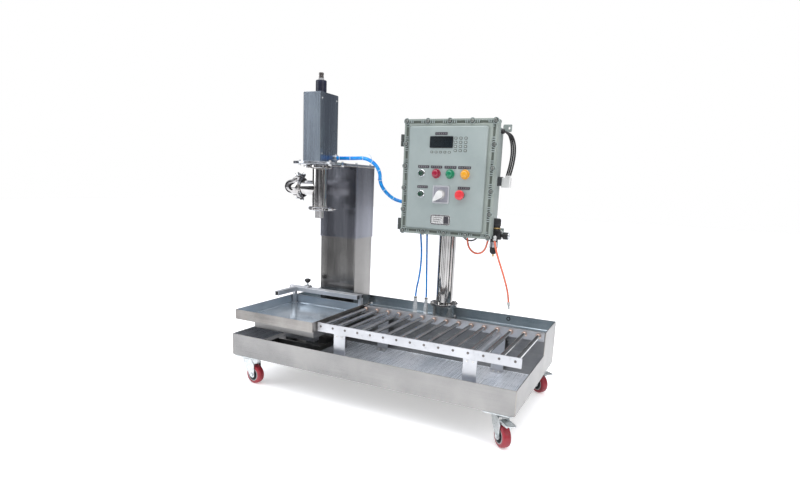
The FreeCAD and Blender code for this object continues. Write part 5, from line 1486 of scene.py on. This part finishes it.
def make_air_set():
    """Filter and regulator: a square head, gauge, bowl with its guard, and two elbows."""
    unit = [block(318, 362, 205, 235, 640, 674, "black plastic", "up", 6, 1.6),
            block(321, 359, 203.6, 236.4, 646, 668, "black plastic", "front", 4, 1.0),
            lathe([(0.1, 674), (17, 674), (17, 678), (15, 680), (15, 692), (0.1, 692)],
                  "black plastic", 44, 0.8).put(*KNOB_AT),
            lathe([(15.2, 683), (16.6, 684), (16.6, 688), (15.2, 689)], "brass", 44, 0.4,
                  loop=True).put(*KNOB_AT),
            block(311.5, 318.5, 209, 231, 662, 674, "zinc", "right", 2, 0.8),
            lathe([(0.1, 0), (7, 0), (7, 6), (13, 8), (15, 10), (15, 30), (14.2, 33), (0.1, 33)],
                  "black plastic", 48, 0.8).put(*GAUGE_AT),
            washer(12.4, 15.4, 31, 34, "gloss chrome", 48, 0.6).put(*GAUGE_AT),
            disc(12.6, 32.6, 33.2, "dial face", 40).put(*GAUGE_AT),
            lathe([(0.1, 33), (1.6, 33), (1.2, 34), (0.1, 34)], "label dark", 16).put(*GAUGE_AT),
            block(395.1, 395.5, 219.4, 220.6, 655, 666, "label dark", "right", 0.3, 0.1)]
    unit += [mark.put(395.2, 220, 656.5, "right") for mark in dial_marks(9, 11.4, 270)]
    bowl = [lathe([(0.1, 604), (13.6, 604), (14.6, 608), (14.6, 632), (0.1, 632)], "bowl clear",
                  44, 1.2),
            disc(15.8, 628, 640, "black plastic", 44, 1.0),
            lathe([(0.1, 577), (7, 577), (12.4, 581), (15, 588), (15, 606), (0.1, 606)],
                  "black plastic", 44, 1.6),
            lathe([(0.1, 566), (3, 566), (4, 568), (4, 578), (0.1, 578)], "brass", 24, 0.5)]
    unit += [s.put(333, 220) for s in bowl]
    for index in range(6):
        a = math.radians(60 * index + 15)
        unit.append(block(-1.8, 1.8, -1.2, 1.2, 603, 630, "black plastic", "up",
                          0.6).put(333 + 14.6 * math.cos(a), 220 + 14.6 * math.sin(a), 0))
    for x, y, z0, z1 in ((306, 222, 632, 652), (342, 196, 636, 656)):
        unit.append(lathe([(0.1, z0), (6, z0), (7, z0 + 1), (7, z0 + 6), (6, z0 + 7), (6, z1 - 8),
                           (7, z1 - 7), (7, z1 - 2), (5, z1), (0.1, z1)], "nickel", 32, 0.5).put(x,
                                                                                                 y))
        unit.append(disc(5.2, z0 - 1, z0 + 1, "black plastic", 24).put(x, y))
    unit.append(bar(306, 319, 222, 645, 6, "nickel", "right"))
    unit.append(bar(196, 206, 342, 649, 6, "nickel", "back"))
    unit.append(hex_head(14, 4, "nickel").put(314.2, 222, 645, "right"))
    unit.append(hex_head(14, 4, "nickel").put(342, 201.2, 649, "back"))
    dress("air_regulator", unit, "machine")
    knob = fluted([(0.1, 692.4), (14.5, 692.4), (15.5, 694), (17, 696), (17, 719), (15.6, 723.5),
                   (12.5, 726), (0.1, 726.3)], 26, 1.1, "black plastic", 130, 0.9).put(*KNOB_AT)
    band = washer(15.2, 17.15, 699, 701, "label dark", 60, 0.3).put(*KNOB_AT)
    make("regulator_knob_skin", [knob, band], "regulator_knob", ["regulator_knob"])


def make_fittings():
    """Glands under and beside the box, and the two unions screwed into the deck."""
    parts = []
    for x in (-12, 20, 208):
        parts.append(hex_head(16, 6, "nickel").put(x, 240, 662, "down", 15))
        parts.append(lathe([(0.1, 0), (7, 0), (7, 12), (5.4, 16.6), (0.1, 16.6)], "nickel", 32,
                           0.8).put(x, 240, 661.8, "down"))
        parts.append(fluted([(0.1, 7), (8, 7), (8, 13), (0.1, 13)], 14, 0.8, "nickel", 56,
                            0.6).put(x, 240, 661.8, "down"))
    # The unions take the less metallic copy of the nickel: painted reflection.
    for x, y in ((-12, 220), (39, 224)):
        parts.append(hex_head(21, 6, "nickel with painted reflection").put(x, y, DECK_Z, spin=10))
        parts.append(lathe([(0.1, DECK_Z), (11, DECK_Z), (11, 271), (8, 273.5), (8, 319), (0.1,
                                                                                           319)],
                           "nickel with painted reflection", 36, 0.8).put(x, y))
        parts.append(hex_head(19.5, 8, "nickel with painted reflection").put(x, y, 274, spin=25))
        parts.append(fluted([(0.1, 292), (10, 292), (10, 311), (0.1, 311)], 18, 0.7, "nickel with painted reflection",
                            72, 1.0).put(x, y))
        parts.append(lathe([(0.1, 311), (8, 311), (8, 317), (7, 320), (7, 349), (5.6, 351.4),
                            (0.1, 351.4)], "nickel with painted reflection", 32, 0.8).put(x, y))
        parts.append(hex_head(15, 8, "nickel with painted reflection").put(x, y, 326, spin=5))
        parts.append(disc(7.6, 345, 349, "black plastic", 32, 0.6).put(x, y))
    parts.append(hex_head(28, 7, "black plastic").put(-52, 244, 768, "left", 15))
    parts.append(fluted([(0.1, 6), (14, 6), (14, 11.5), (10.5, 14), (0.1, 14)], 16, 1.0,
                        "black plastic", 64, 0.8).put(-52, 244, 768, "left"))
    parts.append(block(311.8, 330, 278, 302, 858, 896, "grey hub", "right", 3, 1.0))
    parts.append(block(329, 366, 276.5, 303.5, 852.5, 893, "white plastic", "up", 5, 1.6))
    for x in (347, 354, 361):
        parts.append(lathe([(0.1, 891), (5.4, 891), (5.4, 897), (4.2, 902), (0.1, 902)],
                           "white plastic", 24, 0.6).put(x - 0.5, 290))
    for dx, dy in ((-7.5, -2.5), (7.5, 2.5)):
        route = [np.array(p, float) for p in SIDE_CABLE_ROUTE]
        reach = np.linspace(0, 1, len(route))
        route = [p + np.array([dx, dy, 0]) * (1 - (1 - 2 * r) ** 4 if r < 0.5 else 1) for p,
                 r in zip(route, reach)]
        strand = even_line(eased(route, 22, 8), 90)
        parts.append(swept(strand, 3.5, "cable black", 14, up=(0, 1, 0)))
    sag = np.linspace(0, math.pi, 40)
    loop = np.stack([219 - 36 * np.cos(sag), 246 + 0 * sag, 652 - 30 * np.sin(sag)], axis=1)
    parts.append(swept(loop, 3.2, "cable black", 14, up=(0, 1, 0)))
    parts.append(hex_head(20, 6, "black plastic").put(312, 285, 1080, "right", 15))
    parts.append(fluted([(0.1, 5), (10, 5), (10, 11), (7, 14), (0.1, 14)], 14, 0.8, "black plastic",
                        56, 0.8).put(312, 285, 1080, "right"))
    dress("hose_fittings", parts, "machine")


make_case()
make_door()
make_controls()
make_post()
make_air_set()
make_fittings()

for node, finish in (("control_gear", "white plastic"), ("air_cylinder", "polished steel")):
    kept = bpy.data.objects[node]
    kept.data.materials.clear()
    kept.data.materials.append(FINISH[finish])
